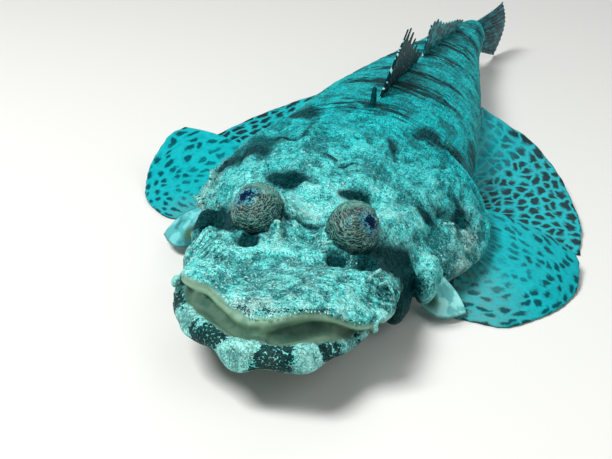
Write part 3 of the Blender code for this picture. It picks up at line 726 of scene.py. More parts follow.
def build_skin():
    """Head, jaw, trunk and tail as one hide: joined forms, remeshed, sculpted by measure and thinned."""
    front = np.linspace(UPPER_TIP, JAW_END + 0.0003, 62)
    rear = np.linspace(JAW_END + 0.0005, 0.204, 96)
    jaw = CHIN_TIP + (JAW_END + 0.006 - CHIN_TIP) * np.linspace(0, 1, 70) ** 1.5
    blocks = [
        add_block(
            "head form", np.concatenate((front, rear)),
            lambda s: np.where(s < HEAD_END, HEAD_WIDTH(s), COVER_WIDTH(s)), head_top, head_under,
        ),
        add_block("jaw form", jaw, JAW_WIDTH, jaw_top, jaw_under, jaw_shift),
        add_block("body form", np.linspace(0.168, CAUDAL_BASE, 250), BODY_WIDTH, body_top, body_under, None, 200),
    ]
    # Rims of the eyes, edges of the gill covers, roots of the paired fins, and the lone spine
    for hand in (-1, 1):
        bpy.ops.mesh.primitive_torus_add(
            location=eye_centre(hand) + np.array((0, 0.003, -0.003)),
            rotation=(math.radians(14), hand * math.radians(20), 0),
            major_segments=64, minor_segments=16, major_radius=EYE_RADIUS - 0.0004, minor_radius=0.0019,
        )
        blocks.append(bpy.context.object)
        blocks.append(add_ball(place(0.18, hand * 0.0715, 0.028), (0.0105, 0.022, 0.0075)))
        blocks.append(add_ball(place(0.199, hand * 0.06, 0.0175), (0.01, 0.015, 0.0105)))
        blocks.append(add_ball(place(0.234, hand * 0.047, 0.0085), (0.015, 0.017, 0.0075)))
    bpy.ops.mesh.primitive_cone_add(
        vertices=16, radius1=0.0034, radius2=0.0012, depth=0.018,
        location=place(0.211, 0.0, 0.0765), rotation=(math.radians(-14), 0, 0),
    )
    blocks.append(bpy.context.object)
    blocks += [add_ball(place(*pad[:3]), pad[3:]) for pad in PADS]
    skin = join(blocks, "skin")
    apply_step(skin, "REMESH", mode="VOXEL", voxel_size=VOXEL, adaptivity=0.0)
    apply_step(skin, "SMOOTH", factor=0.5, iterations=3)
    points = points_of(skin)
    normals = points_of(skin, "vertex_normals", "vector")
    # The height of the grit, kept for painted shade in its creases and painted highlights on its lumps
    store(skin, "relief", ease(-0.0014, 0.0014, grit(points)))
    move_points(skin, keep_inside(points + normals * sculpt(points, normals)[:, None], 0.0002))
    apply_step(skin, "TRIANGULATE")
    count = len(skin.data.polygons)
    if count > MOST_TRIANGLES:
        apply_step(skin, "DECIMATE", ratio=MOST_TRIANGLES / count)
    smooth_shade(skin)
    paint_skin(skin)
    wear(skin, hide_material())
    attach(skin, "root")
    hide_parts("head", "lower_jaw", "torso_front", "torso_rear", "tail")


# Eyes
def build_eye(hand, look):
    """One eyeball under its lace of skin; look is the direction of its pupil."""
    name = "eye_" + SIDES[hand]
    crown = Vector((hand * 0.16, -0.52, 0.84)).normalized()
    bpy.ops.mesh.primitive_uv_sphere_add(segments=128, ring_count=80, radius=1.0)
    eye = bpy.context.object
    eye.name = name + "_ball"
    eye.data.name = eye.name
    unit = points_of(eye) @ np.array(crown.to_track_quat("Z", "X").to_matrix()).T
    look = np.array(Vector(look).normalized())
    level = np.cross(look, np.array(crown))
    level /= np.linalg.norm(level)
    upright = np.cross(level, look)
    pupil = np.hypot(unit @ level / 0.21, unit @ upright / 0.3) + 0.35 * clouds(unit, 0.22, 3)
    facing = unit @ look
    polar = np.degrees(np.arccos(np.clip(unit @ np.array(crown), -1, 1)))
    rings = np.cos(np.radians(polar * 40 + 90 * clouds(unit, 0.5, 4))) * ease(38, 55, polar)
    height = 0.00016 * rings + 0.0003 * clouds(unit, 0.14, 5) * (1 - ease(1.0, 0.6, pupil) * ease(0.2, 0.5, facing))
    height -= 0.0006 * bell(pupil, 0, 1) * ease(0.2, 0.5, facing)
    move_points(eye, unit * (eye_reach(unit) + height - 0.0001)[:, None] + eye_centre(hand))
    smooth_shade(eye)
    back = unit @ np.array(Vector((-hand * 0.25, 0.45, 0.86)).normalized())
    store(eye, "pupil", np.where(facing > 0, pupil, 9.0))
    store(eye, "polar", polar)
    store(eye, "crescent", ease(0.45, 0.8, back) * ease(10, 26, polar))
    # Painted shade over the lower part of the eyeball
    store(eye, "foot", ease(0.1, 0.85, -unit[:, 2]))
    wear(eye, EYE_FINISH)
    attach(eye, "root")
    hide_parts(name)


# Fins
def build_fin(
    name, node, rays, rows, root, tip, bow, thick_root, thick_tip, finish, notch=0.0, fork=0.1, web=0.00055
):
    """A fin of ridged rays in thin skin, from functions of f, 0 at the first ray and 1 at the last."""
    made = add_grid(name, 8 * (rays - 1), rows)
    f, reach, _ = points_of(made).T + 0.5
    ray = f * (rays - 1)
    crest = bell(np.abs(ray - np.round(ray)), fork * ease(0.45, 1.0, reach), 0.13)
    r = reach * (1 - notch * np.clip(np.sin(math.pi * np.mod(ray, 1.0)), 0, 1) ** 0.8)
    start, end, lift = (np.stack(np.broadcast_arrays(*part(f)), axis=-1) for part in (root, tip, bow))
    middle = start + (end - start) * r[:, None] + lift * (4 * r * (1 - r))[:, None]
    thick = web + (thick_root + (thick_tip - thick_root) * r - web) * crest
    middle[:, 2] = np.maximum(middle[:, 2], 0.5 * (web + 0.0006))
    move_points(made, place(*middle.T))
    group = made.vertex_groups.new(name="thickness")
    for index, share in enumerate(thick / thick_root):
        group.add([index], float(share), "REPLACE")
    smooth_shade(made)
    apply_step(made, "SOLIDIFY", thickness=thick_root, offset=0.0, vertex_group="thickness", use_even_offset=False)
    made.vertex_groups.clear()
    shaped = points_of(made)
    shaped[:, 2] = np.maximum(shaped[:, 2], 0.0001)
    move_points(made, keep_inside(shaped))
    seal(made)
    smooth_shade(made)
    wear(made, finish)
    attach(made, "root")
    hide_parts(node)


def build_breast_fin(hand):
    """Broad fan in front, spread over the floor; the fish's right one is set back and raised."""
    tip_u = smooth((0, 0.0765), (0.15, 0.097), (0.35, 0.117), (0.55, 0.131), (0.75, 0.136), (0.9, 0.134), (1, 0.126))
    tip_s = smooth((0, 0.1165), (0.15, 0.116), (0.35, 0.134), (0.55, 0.16), (0.75, 0.183), (0.9, 0.203), (1, 0.213))
    tip_z = smooth((0, 0.0005), (0.6, 0.0005), (0.8, 0.004), (1, 0.011))
    back, lift, swept = (0.0, 0.0, 0.0) if hand > 0 else (0.016, 0.018, 0.04)
    build_fin(
        "breast_fin_" + SIDES[hand], "pectoral_fin_" + SIDES[hand], 20, 48,
        lambda f: (0.162 + 0.048 * f, hand * (0.068 - 0.01 * f), 0.01 + 0.015 * f),
        lambda f: (tip_s(f) + back + swept * (1 - f) ** 2, hand * tip_u(f), tip_z(f) + lift * ease(0.5, 1.0, f)),
        lambda f: (0.004 * (1 - f), hand * (0.012 * np.sin(math.pi * f) - 0.002), 0.001 + 0.003 * f),
        0.0013, 0.0008, BREAST_FIN_FINISH, 0.006,
    )


def build_belly_fin(hand):
    """Large fan behind the breast fin, its last ray raised along the flank."""
    tip_u = smooth((0, 0.134), (0.2, 0.132), (0.4, 0.121), (0.6, 0.104), (0.8, 0.077), (1, 0.0455))
    tip_s = smooth((0, 0.228), (0.2, 0.258), (0.4, 0.298), (0.6, 0.338), (0.8, 0.366), (1, 0.366))
    tip_z = smooth((0, 0.0005), (0.2, 0.003), (0.6, 0.011), (0.8, 0.02), (1, 0.034))
    build_fin(
        "belly_fin_" + SIDES[hand], "pelvic_fin_" + SIDES[hand], 11, 56,
        lambda f: (0.222 + 0.022 * f, hand * 0.044, 0.005 + 0.006 * f),
        lambda f: (tip_s(f), hand * tip_u(f), tip_z(f)),
        lambda f: (0.0, hand * (0.01 * f - 0.008 * f**4), -0.0005),
        0.0024, 0.001, BELLY_FIN_FINISH, 0.006, 0.16,
    )


def build_unpaired_fins():
    """Two fins on the back, one under the tail and the tail fin itself."""
    first = smooth((0, 0.032), (0.14, 0.036), (0.3, 0.034), (0.5, 0.026), (0.75, 0.015), (1, 0.006))
    second = smooth((0, 0.022), (0.15, 0.023), (0.35, 0.017), (0.6, 0.013), (0.85, 0.01), (1, 0.007))
    build_fin(
        "spiny_back_fin", "first_dorsal_fin", 8, 32,
        lambda f: (0.228 + 0.088 * f, 0.0, BACK_Z(0.228 + 0.088 * f) - 0.004),
        lambda f: (0.248 + 0.086 * f, 0.006 - 0.004 * f, BACK_Z(0.248 + 0.086 * f) + first(f)),
        lambda f: (-0.002, 0.0, 0.0),
        0.0024, 0.001, SPINY_FIN_FINISH, 0.2, 0.0,
    )
    build_fin(
        "soft_back_fin", "second_dorsal_fin", 12, 24,
        lambda f: (0.35 + 0.137 * f, 0.0, BACK_Z(0.35 + 0.137 * f) - 0.003),
        lambda f: (0.358 + 0.145 * f, 0.002, BACK_Z(0.358 + 0.145 * f) + second(f)),
        lambda f: (0.0, 0.0, 0.0),
        0.0018, 0.0009, BARRED_FIN_FINISH, 0.08, 0.08,
    )
    build_fin(
        "under_tail_fin", "anal_fin", 11, 18,
        lambda f: (0.402 + 0.098 * f, 0.0, BELLY_Z(0.402 + 0.098 * f) + 0.003),
        lambda f: (0.412 + 0.104 * f, 0.014 - 0.004 * f, 0.0005 + 0.004 * f),
        lambda f: (0.0, 0.002, -0.002),
        0.0016, 0.0009, BREAST_FIN_FINISH, 0.06, 0.08,
    )
    build_fin(
        "tail_fin", "caudal_fin", 13, 40,
        lambda f: (CAUDAL_BASE - 0.014, 0.0, 0.024 + 0.022 * f),
        lambda f: (0.63 + 0.018 * np.sin(math.pi * f), 0.0, 0.0005 + 0.052 * f),
        lambda f: (0.0, 0.003, 0.0),
        0.003, 0.001, TAIL_FIN_FINISH, 0.03, 0.14,
    )


# Skin tags: rows of small fleshy leaves
def build_tags(name, tags, finish):
    """Copies of one leaf, each as (s, u, z, lean along, aside and up, height, width, thickness, turn in degrees)."""
    bpy.ops.mesh.primitive_cone_add(vertices=8, radius1=0.5, radius2=0.26, depth=1.2, location=(0, 0, 0.4))
    leaf = bpy.context.object
    bpy.ops.object.transform_apply(location=True)
    apply_step(leaf, "SUBSURF", levels=1, render_levels=1)
    smooth_shade(leaf)
    shape = points_of(leaf)
    copies = []
    for s, u, z, lean, tall, wide, thin, turn in tags:
        foot = place(s, u, z)
        upward = Vector(place(s + 0.001 * lean[0], u + 0.001 * lean[1], z + 0.001 * lean[2]) - foot).normalized()
        turned = upward.to_track_quat("Z", "X") @ Euler((0, 0, math.radians(turn))).to_quaternion()
        copy = leaf.copy()
        copy.data = leaf.data.copy()
        bpy.context.scene.collection.objects.link(copy)
        curl = (0.25 * shape[:, 2] ** 2 * thin)[:, None] * (0, 1, 0)
        moved = (shape * (wide, thin, tall) + curl) @ np.array(turned.to_matrix()).T + foot
        move_points(copy, keep_inside(moved))
        copies.append(copy)
    bpy.data.objects.remove(leaf)
    made = join(copies, name)
    wear(made, finish)
    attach(made, "root")


def lip_fringe():
    """Papillae along the upper edge of the cream lip."""
    along = np.linspace(0.006, 0.045, 160)
    tags = []
    for index, u in enumerate(np.linspace(-0.006, 0.0385, 38)):
        s = along[np.argmax(HEAD_WIDTH(along) * np.sqrt(1 - 0.1**2) >= abs(u))] + 0.001
        chance = scatter(np.array([index, 3.0]), 5)
        other = scatter(np.array([index, 7.0]), 9)
        z = LIP_TOP(s) + front_lift(s, u, LIP_LIFT) + 0.0004 + 0.0016 * other
        lean = (-1.0, 0.8 * (other - 0.3), -0.6 + chance)
        tags.append((s, u + 0.0006 * other, z, lean, 0.0008 + 0.0018 * chance * chance, 0.0011, 0.0008, 90 * other))
    return tags


def frills():
    """Ruffles on the left cheek, frilled flaps on the right gill cover and lobes beside the eyes."""
    tags = []
    groups = (  # from s, u to s, u, height and width in millimetres, number, lean
        (53.5, 37.2, 65.0, 40.0, 3.6, 3.0, 6, (-0.2, 0.3, 1.0)),
        (56.0, 42.0, 62.0, 44.0, 3.0, 2.6, 4, (-0.2, 0.5, 1.0)),
        (136.0, -66.0, 150.0, -71.0, 6.0, 4.0, 8, (-0.6, -0.6, 0.8)),
        (130.0, -68.0, 142.0, -76.0, 5.6, 4.0, 7, (-0.8, -0.8, 0.2)),
        (118.0, -56.0, 126.0, -61.0, 3.4, 3.4, 5, (-0.5, -0.3, 0.8)),
        (73.5, -10.8, 76.5, -13.8, 3.6, 4.6, 4, (-0.5, 0.2, 1.0)),
        (65.5, 24.0, 68.0, 28.0, 2.4, 1.6, 3, (-0.5, 0.3, 0.8)),
        (70.0, 10.0, 72.2, 12.8, 2.2, 3.6, 2, (-0.5, -0.2, 1.0)),
        (134.0, 59.0, 140.0, 64.0, 2.4, 2.8, 4, (-0.4, 0.6, 0.8)),
    )
    for group, (*measures, number, lean) in enumerate(groups):
        from_s, from_u, to_s, to_u, tall, wide = np.array(measures) / 1000
        for index, t in enumerate(np.linspace(0, 1, number)):
            chance = scatter(np.array([group, index]), 11)
            s = from_s + (to_s - from_s) * t + 0.001 * (chance - 0.5)
            u = from_u + (to_u - from_u) * t
            bend = (lean[0], lean[1] + 0.6 * (chance - 0.5), lean[2])
            foot = (s, u, float(head_top(s, u)) - 0.0004)
            tags.append((*foot, bend, tall * (0.7 + 0.6 * chance), wide, 0.001, 70 * chance - 35))
    return tags


def build_flap(hand):
    """Fan of gill membrane under the edge of the gill cover; the fish's right one is set back."""
    back, out, up = (0.0, 0.0, 0.0) if hand > 0 else (0.013, 0.012, 0.002)
    build_fin(
        "gill_membrane_" + SIDES[hand], "gill_flap_" + SIDES[hand], 6, 28,
        lambda f: (back + 0.119 + 0.003 * f, hand * (out + 0.058 + 0.003 * f), 0.0225 + up),
        lambda f: (
            back + 0.115 - 0.009 * np.sin(math.pi * f) + 0.003 * f, hand * (out + 0.0575 + 0.0235 * f), 0.0035 + up
        ),
        lambda f: (0.0, hand * 0.002, 0.0015),
        0.0016, 0.0009, FLAP_FINISHES[hand], 0.008, 0.0, 0.0008,
    )


# Materials
def hex_colour(text):
    """An sRGB hex value as linear colour."""
    parts = [int(text[i : i + 2], 16) / 255 for i in (1, 3, 5)]
    return (*[c / 12.92 if c <= 0.04045 else ((c + 0.055) / 1.055) ** 2.4 for c in parts], 1.0)


def add_node(tree, kind, sockets=None, out=0, stops=(), **settings):
    """Add a shader node with its settings and links, and give one of its outputs for the next node to read."""
    made = tree.nodes.new("ShaderNode" + kind)
    for name, value in settings.items():
        setattr(made, name, value)
    for socket, value in (sockets or {}).items():
        if isinstance(value, bpy.types.NodeSocket):
            tree.links.new(value, made.inputs[socket])
        else:
            made.inputs[socket].default_value = hex_colour(value) if isinstance(value, str) else value
    for index, (position, colour) in enumerate(stops):
        if index >= len(made.color_ramp.elements):
            made.color_ramp.elements.new(1.0)
        made.color_ramp.elements[index].position = position
        made.color_ramp.elements[index].color = hex_colour(colour)
    return made.outputs[out]


# Settings of a noise, in the order of the rows below; its scale is in lumps a millimetre
NOISE = ("Scale", "Detail", "Roughness", "Distortion")


def start_material(name, roughness, specular=0.12):
    """A named material and its shader, whose own sockets take the uniform values."""
    material = bpy.data.materials.new(name)
    material.use_nodes = True
    shader = material.node_tree.nodes["Principled BSDF"]
    shader.inputs["Roughness"].default_value = roughness
    shader.inputs["Specular IOR Level"].default_value = specular
    return material, material.node_tree, shader


def millimetres(tree, name=None):
    """Coordinates in millimetres: the object's own, or those of a UV map that is kept in metres."""
    if name is None:
        source = add_node(tree, "TexCoord", out="Object")
    else:
        source = add_node(tree, "UVMap", uv_map=name)
    return add_node(tree, "VectorMath", {0: source, "Scale": 1000.0}, operation="SCALE")


def lay_over(tree, colour, *layers):
    """Cover a colour with layers of (mask, from, to, most, colour): a mask passing from one value to another."""
    for mask, start, end, most, layer in layers:
        share = add_node(tree, "MapRange", {0: mask, 1: start, 2: end, 4: most}, interpolation_type="SMOOTHSTEP")
        colour = add_node(tree, "Mix", {0: share, 6: colour, 7: layer}, 2, data_type="RGBA")
    return colour


def finish_skin(tree, shader, colour, height, strength, depth):
    """Give a shader its painted colour and its fine relief, with the real depth of the relief in metres."""
    normal = add_node(tree, "Bump", {"Height": height, "Strength": strength, "Distance": depth})
    shader.inputs["Specular Tint"].default_value = hex_colour("#35c8cc")
    tree.links.new(colour, shader.inputs["Base Color"])
    tree.links.new(normal, shader.inputs["Normal"])


def hide_material():
    """Living flathead hide, scaled and slimy: turquoise ground under dark flecks, streaks and pepper, satin wet, with
    painted shade in its hollows and creases and painted highlights and glints.
    """
    material, tree, shader = start_material("flathead hide, mottled and slimed", 0.5)
    here, body = millimetres(tree), millimetres(tree, "body")
    names = (
        "shade", "pepper", "lip", "lip_edge", "lining", "inside", "rear", "belly", "lid", "relief", "grey", "paler",
    )
    mask = {name: add_node(tree, "Attribute", out="Fac", attribute_name=name) for name in names}
    mottle, flecks, grains, broad, painted_glints, cream = (
        add_node(tree, "TexNoise", {"Vector": here, **dict(zip(NOISE, row))})
        for row in (
            (0.075, 5.0, 0.62),  # clouds of the ground, about 13 mm across
            (0.7, 3.0, 0.72, 1.6),  # winding dark flecks about 2 mm apart
            (0.95, 2.0, 0.6, 0.6),  # pale and dark grains of a millimetre
            (0.2, 4.0, 0.7, 0.8),  # dark cloudy patches of 5 mm
            (0.6, 4.0, 0.75),  # painted white glints of wet skin, fewer toward the tail
            (0.12, 2.0),  # clouds of the lip and the lining, 8 mm across
        )
    )
    painted_glints = add_node(tree, "Math", {0: mask["rear"], 1: -0.06, 2: painted_glints}, operation="MULTIPLY_ADD")
    # The ground turns deeper blue green along the back
    head, back = (
        add_node(tree, "ValToRGB", {0: mottle}, stops=tuple(zip((0.28, 0.44, 0.58, 0.76), shades)))
        for shades in (("#36b4b0", "#5bd8d3", "#7df0ea", "#a6faf2"), ("#038b94", "#05b4ba", "#0cd2d6", "#38e8e9"))
    )
    colour = add_node(tree, "Mix", {0: mask["rear"], 6: head, 7: back}, 2, data_type="RGBA")
    pale = lay_over(tree, "#aeeae2", (mask["rear"], 0.0, 1.0, 1.0, "#38cfd0"))
    # Strokes of 1 by 6 mm across the body
    strokes_at = add_node(tree, "Mapping", {"Vector": body, "Scale": (0.16, 0.95, 1.0)})
    strokes = add_node(tree, "TexNoise", {"Vector": strokes_at, **dict(zip(NOISE, (1.0, 3.0, 0.65, 0.8)))})
    # Dark markings and saddles, and the painted shade of pits, hollows and creases, are broken by the flecks
    marks_and_shade_colour = lay_over(
        tree, "#083a3f", (mask["rear"], 0.3, 1.0, 0.8, "#044f57"), (flecks, 0.4, 0.56, 0.9, "#010e10"),
        (grains, 0.58, 0.66, 0.45, "#1b7478"),
    )
    # Pepper: black dots of 0.6 mm that run together where there are many
    dots = add_node(tree, "TexVoronoi", {"Vector": here, "Scale": 0.95, "Randomness": 1.0}, out="Distance")
    ragged = add_node(tree, "Math", {0: flecks, 1: 0.45, 2: dots}, operation="MULTIPLY_ADD")
    thick = add_node(tree, "Math", {0: mask["pepper"], 1: ragged}, operation="SUBTRACT")
    # Smooth cream lip, greener toward the mouth, and the olive lining, pale at the lower rim and darker deeper in the
    # mouth and toward the fish's right, where that is painted shade
    lip = lay_over(
        tree, "#496a55", (mask["lip_edge"], 0.0, 1.0, 1.0, "#7c9f89"), (cream, 0.42, 0.62, 0.5, "#6d9176"),
        (cream, 0.42, 0.34, 0.5, "#4f7560"),
    )
    inside = lay_over(tree, "#5c7766", (mask["inside"], 0.0, 0.8, 1.0, "#3b5a4c"), (cream, 0.36, 0.64, 0.3, "#6f8a75"))
    colour = lay_over(
        tree, colour,
        (mask["paler"], 0.0, 1.0, 0.45, "#a6d6c8"),
        (mask["grey"], 0.0, 1.0, 0.6, "#a8b3aa"),
        # Painted shade in the creases of the grit
        (mask["relief"], 0.42, 0.05, 0.75, "#0f5c60"),
        (strokes, 0.52, 0.6, 0.6, "#0f5c60"),
        (flecks, 0.53, 0.57, 0.9, "#0b4549"),
        (grains, 0.45, 0.37, 0.6, "#0f5155"),
        # Painted highlights on the lumps of the grit
        (mask["relief"], 0.6, 1.0, 0.35, pale),
        (grains, 0.56, 0.64, 0.45, pale),
        (broad, 0.57, 0.64, 0.58, "#0a4a4e"),
        (mask["paler"], 0.3, 1.0, 0.12, "#9bdccf"),
        # Painted glints of wet skin
        (painted_glints, 0.6, 0.65, 0.8, "#dffcf6"),
        # Dark markings and painted shade
        (mask["shade"], 0.0, 0.9, 0.98, marks_and_shade_colour),
        (mask["belly"], 0.0, 1.0, 0.8, "#c9e6de"),
        (mask["lid"], 0.0, 1.0, 0.65, "#9fe0d6"),
        (thick, 0.0, 0.08, 0.94, "#0b1c1b"),
        (mask["lip"], 0.0, 1.0, 1.0, lip),
        (mask["lining"], 0.0, 1.0, 1.0, inside),
    )
    # Scales 2.6 mm wide on the trunk, grain on the head, nearly nothing on the lip and in the mouth
    scale_cells = {"Vector": body, "Scale": 0.38, "Randomness": 0.45}
    scales = add_node(tree, "TexVoronoi", scale_cells, "Distance", feature="DISTANCE_TO_EDGE")
    plates = add_node(tree, "MapRange", {0: scales, 1: 0.0, 2: 0.25, 4: 1.0})
    height = add_node(tree, "Math", {0: plates, 1: mask["rear"], 2: flecks}, operation="MULTIPLY_ADD")
    height = add_node(tree, "Math", {0: height, 1: grains}, operation="ADD")
    bare = add_node(tree, "MapRange", {0: mask["lip"], 1: 0.0, 2: 1.0, 3: 1.0, 4: 0.15})
    height = add_node(tree, "Math", {0: height, 1: bare}, operation="MULTIPLY")
    finish_skin(tree, shader, colour, height, 0.9, 0.0007)
    return material


def eye_material():
    """Eyeball under a lace of skin: pale threads and rings over brown grey, a ragged blue pupil, wet."""
    material, tree, shader = start_material("flathead eye, lace over a wet ball", 0.25, 0.25)
    here = millimetres(tree)
    polar, pupil, crescent, foot = (
        add_node(tree, "Attribute", out="Fac", attribute_name=name) for name in ("polar", "pupil", "crescent", "foot")
    )
    # Clouds of 4 mm, threads about 2 mm apart and the lines of the lace
    wander, threads, lace = (
        add_node(tree, "TexNoise", {"Vector": here, **dict(zip(NOISE, row))})
        for row in ((0.24, 3.0, 0.6), (0.42, 1.5, 0.5, 2.0), (0.24, 1.0, 0.5, 1.2))
    )
    lace = add_node(tree, "Math", {0: lace, 1: 0.5}, operation="SUBTRACT")
    lace = add_node(tree, "Math", {0: lace}, operation="ABSOLUTE")
    # Rings every 6 degrees, about 1.3 mm apart, that follow the edge of the ball
    turns = add_node(tree, "Math", {0: wander, 1: 26.0, 2: polar}, operation="MULTIPLY_ADD")
    turns = add_node(tree, "Math", {0: turns, 1: 2 * math.pi / 6.0}, operation="MULTIPLY")
    wave = add_node(tree, "Math", {0: turns}, operation="SINE")
    edge = add_node(tree, "MapRange", {0: polar, 1: 8.0, 2: 48.0, 3: 0.45, 4: 1.0})
    rings = add_node(tree, "Math", {0: wave, 1: edge}, operation="MULTIPLY")
    ragged = add_node(tree, "Math", {0: threads, 1: 2.2, 2: pupil}, operation="MULTIPLY_ADD")
    ragged = add_node(tree, "Math", {0: ragged, 1: 1.0}, operation="SUBTRACT")
    glow = lay_over(tree, "#0a3646", (threads, 0.46, 0.56, 1.0, "#3f97a8"))
    colour = lay_over(
        tree, "#34423f",
        (wander, 0.38, 0.62, 1.0, "#56544e"),
        (polar, 40.0, 78.0, 0.8, "#17504f"),
        (threads, 0.47, 0.4, 0.7, "#0a1315"),
        (crescent, 0.0, 1.0, 0.7, "#438f80"),
        (rings, -0.2, -0.8, 0.75, "#082528"),
        (rings, 0.3, 0.9, 0.6, "#66a298"),
        # Painted shade under the eyeball
        (foot, 0.0, 1.0, 0.75, "#08191b"),
        (pupil, 2.6, 1.2, 0.75, glow),
        (lace, 0.026, 0.012, 0.55, "#86aaa0"),
        (ragged, 1.35, 0.95, 1.0, "#031233"),
    )
    finish_skin(tree, shader, colour, threads, 0.6, 0.0004)
    return material


def net_material(name, across, along, shades, strength, lean, darker, size):
    """Wet fin skin: a pale net round cells whose dark middles grow toward the edge and, by lean, from ray to ray."""
    light, ground, front, spot = shades
    material, tree, shader = start_material(name, 0.42)
    sheet = add_node(tree, "UVMap", uv_map="UVMap")
    here = millimetres(tree)
    ray, reach = (add_node(tree, "SeparateXYZ", {0: sheet}, axis) for axis in "XY")
    sway = add_node(tree, "TexNoise", {"Vector": here, "Scale": 0.12, "Detail": 2.0}, "Color")
    pulled = add_node(tree, "VectorMath", {0: sway, 1: (0.5, 0.5, 0.5)}, operation="SUBTRACT")
    laid = add_node(tree, "Mapping", {"Vector": sheet, "Scale": (across, along, 1.0)})
    at = add_node(tree, "VectorMath", {0: pulled, 1: (1.1, 1.1, 0.0), 2: laid}, operation="MULTIPLY_ADD")
    cells = {"Vector": at, "Scale": 1.0, "Randomness": 0.7}
    edge, middle, chance = (
        add_node(tree, "TexVoronoi", cells, out, feature=feature, voronoi_dimensions="2D")
        for out, feature in (("Distance", "DISTANCE_TO_EDGE"), ("Distance", "F1"), ("Color", "F1"))
    )
    grain, patches = (
        add_node(tree, "TexNoise", {"Vector": here, **dict(zip(NOISE, row))}) for row in ((0.55, 4.0, 0.7), (0.05, 2.0))
    )
    edge = add_node(tree, "Math", {0: grain, 1: 0.35, 2: edge}, operation="MULTIPLY_ADD")
    middle = add_node(tree, "Math", {0: grain, 1: 0.4, 2: middle}, operation="MULTIPLY_ADD")
    grown = add_node(tree, "Math", {0: ray, 1: lean, 2: reach}, operation="MULTIPLY_ADD")
    grown = add_node(tree, "Math", {0: chance, 1: 0.45, 2: grown}, operation="MULTIPLY_ADD")
    grown = add_node(tree, "MapRange", {0: grown, 1: darker[0], 2: darker[1], 4: 1.0})
    core = add_node(
        tree, "MapRange", {0: middle, 1: size + 0.2, 2: size * 0.4 + 0.2, 4: 1.0}, interpolation_type="SMOOTHSTEP"
    )
    core = add_node(tree, "Math", {0: core, 1: grown}, operation="MULTIPLY")
    colour = lay_over(
        tree, ground,
        (patches, 0.42, 0.6, 0.45, light),
        (ray, 0.42, 0.05, 0.85, front),
        (grain, 0.5, 0.64, 0.4, light),
        (grain, 0.46, 0.34, 0.45, spot),
        (core, 0.0, 1.0, 0.94, spot),
        (edge, 0.4, 0.2, strength, light),
    )
    finish_skin(tree, shader, colour, grain, 0.5, 0.0004)
    return material


def barred_material(name, dark, light, bars_along, share):
    """Wet fin skin with dark and pale bars that run from ray to ray."""
    material, tree, shader = start_material(name, 0.45)
    sheet = add_node(tree, "UVMap", uv_map="UVMap")
    here = millimetres(tree)
    laid = add_node(tree, "Mapping", {"Vector": sheet, "Scale": (9.0, bars_along, 1.0)})
    patches, grain, beads = (
        add_node(tree, "TexNoise", {"Vector": where, **dict(zip(NOISE, row))})
        for where, *row in ((laid, 1.0, 3.0, 0.6, 0.6), (here, 0.9, 3.0, 0.7), (here, 0.35, 1.0))
    )
    both = add_node(tree, "Math", {0: grain, 1: 0.35, 2: patches}, operation="MULTIPLY_ADD")
    ray = add_node(tree, "SeparateXYZ", {0: sheet}, "X")
    dotted = lay_over(tree, dark, (beads, 0.55, 0.62, 1.0, "#9fd6d2"))
    colour = lay_over(
        tree, dark, (both, share, share + 0.07, 1.0, light), (grain, 0.6, 0.66, 0.75, "#6cc6c6"),
        (ray, 0.035, 0.02, 0.85, dotted),
    )
    finish_skin(tree, shader, colour, grain, 0.4, 0.0004)
    return material


def tag_material():
    """Fleshy skin tags, pale turquoise with teal grains and dark and light patches, moist."""
    material, tree, shader = start_material("skin tags, fleshy and pale", 0.45)
    here = millimetres(tree)
    patches, grain = (
        add_node(tree, "TexNoise", {"Vector": here, "Scale": size, "Detail": 2.0}) for size in (0.45, 1.2)
    )
    colour = lay_over(
        tree, "#8fdad2", (grain, 0.5, 0.6, 0.6, "#4f9f9b"), (patches, 0.54, 0.6, 0.9, "#123f42"),
        (patches, 0.44, 0.36, 0.6, "#c3eee6"),
    )
    finish_skin(tree, shader, colour, grain, 0.4, 0.0003)
    return material


def flap_material(name, shades):
    """Gill membrane, thin and wet, with darker clouds, an olive patch toward its front and a dark edge."""
    ground, cloud, pale = shades
    material, tree, shader = start_material(name, 0.38, 0.2)
    here = millimetres(tree)
    sheet = add_node(tree, "UVMap", uv_map="UVMap")
    haze = add_node(tree, "TexNoise", {"Vector": here, "Scale": 0.12, "Detail": 3.0})
    reach = add_node(tree, "SeparateXYZ", {0: sheet}, "Y")
    patch = add_node(tree, "VectorMath", {0: sheet, 1: (0.22, 0.72, 0.0)}, "Value", operation="DISTANCE")
    rough_patch = add_node(tree, "Math", {0: haze, 1: 0.35, 2: patch}, operation="MULTIPLY_ADD")
    colour = lay_over(
        tree, ground, (haze, 0.48, 0.6, 0.8, cloud), (haze, 0.44, 0.38, 0.6, pale),
        (rough_patch, 0.44, 0.26, 0.9, "#4c6a48"), (reach, 0.94, 0.99, 0.6, "#2f5f58"),
    )
    finish_skin(tree, shader, colour, haze, 0.4, 0.0004)
    return material


EYE_FINISH = eye_material()
BREAST_FIN_FINISH = net_material(
    "breast fin skin, pale net round soft dark spots", 11.0, 9.0, ("#12aab0", "#0a929a", "#5b8a87", "#033e47"), 0.55,
    0.35, (0.25, 1.2), 0.42,
)
BELLY_FIN_FINISH = net_material(
    "belly fin skin, dark cells in a bright net", 15.0, 11.0, ("#0fb0b6", "#077680", "#077680", "#02191f"), 0.8,
    -3.0, (-1.8, -1.2), 0.6,
)
SPINY_FIN_FINISH = barred_material("spiny fin skin, near black with pale dots", "#04232a", "#2a9c9e", 6.0, 0.8)
BARRED_FIN_FINISH = barred_material("soft fin skin, dark bars", "#04404b", "#149298", 5.0, 0.64)
TAIL_FIN_FINISH = barred_material("tail fin skin, dark bands", "#04343f", "#0f7882", 6.0, 0.68)
FLAP_FINISHES = {
    1: flap_material("gill membrane, white and wet", ("#a2f3f0", "#58b2b2", "#bdf8f5")),
    # The fish's right membrane is the white one painted darker as in shade
    -1: flap_material("gill membrane, wet, in painted shade", ("#4fa3a6", "#276a70", "#7fd0d1")),
}
TAG_FINISH = tag_material()


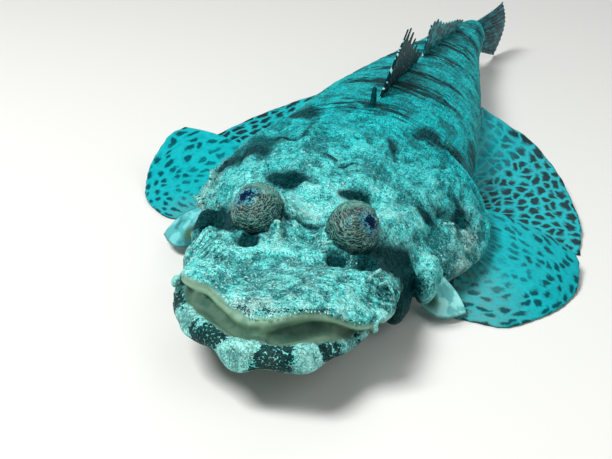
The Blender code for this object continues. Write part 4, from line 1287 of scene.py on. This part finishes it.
def set_stage():
    """A plain pale floor, soft studio light and the camera at the photograph's angle."""
    bpy.ops.mesh.primitive_plane_add(size=12.0, location=(0, 0, -0.0004))
    floor = bpy.context.object
    floor.name = "floor"
    material, _, shader = start_material("studio floor, matt paper", 0.9, 0.5)
    shader.inputs["Base Color"].default_value = hex_colour("#d9d9d5")
    floor.data.materials.append(material)
    scene = bpy.context.scene
    world = bpy.data.worlds.new("studio")
    world.use_nodes = True
    world.node_tree.nodes["Background"].inputs["Color"].default_value = hex_colour("#e4e7e8")
    world.node_tree.nodes["Background"].inputs["Strength"].default_value = 0.3
    scene.world = world
    scene.view_settings.view_transform = "Standard"
    for name, at, power, size in (
        ("key", (-0.55, -0.75, 1.25), 26.0, 0.5),
        ("fill", (1.1, -0.5, 0.9), 5.0, 1.2),
        ("rim", (0.1, 1.2, 1.2), 6.0, 1.0),
    ):
        light = bpy.data.lights.new(name, "AREA")
        light.energy = power
        light.size = size
        lamp = bpy.data.objects.new(name, light)
        lamp.location = at
        lamp.rotation_euler = (Vector((0, -0.1, 0)) - Vector(at)).to_track_quat("-Z", "Y").to_euler()
        scene.collection.objects.link(lamp)
    yaw, pitch, roll = math.radians(-12.36), math.radians(26.38), math.radians(5.59)
    ahead = Vector((math.sin(yaw) * math.cos(pitch), math.cos(yaw) * math.cos(pitch), -math.sin(pitch)))
    right = Vector((math.cos(yaw), -math.sin(yaw), 0.0))
    above = right.cross(ahead)
    right, above = (
        math.cos(roll) * right + math.sin(roll) * above,
        math.cos(roll) * above - math.sin(roll) * right,
    )
    lens = bpy.data.cameras.new("camera")
    lens.sensor_width = 36.0
    lens.lens = lens.sensor_width * 1008 / 612
    lens.clip_start = 0.01
    camera = bpy.data.objects.new("camera", lens)
    spot = Vector((0.0951, -0.3444, 0.268)) + Vector(ORIGIN)
    turn = Matrix((right, above, -ahead)).transposed()
    camera.matrix_world = Matrix.Translation(spot) @ turn.to_4x4()
    scene.collection.objects.link(camera)
    scene.camera = camera


set_stage()
build_skin()
build_eye(-1, (-0.4825, -0.5639, 0.6731))
build_eye(1, (0.7623, -0.4184, 0.4898))
for fish_side in (-1, 1):
    build_breast_fin(fish_side)
    build_belly_fin(fish_side)
    build_flap(fish_side)
build_unpaired_fins()
build_tags("lip_fringe", lip_fringe(), TAG_FINISH)
build_tags("head_frills", frills(), TAG_FINISH)
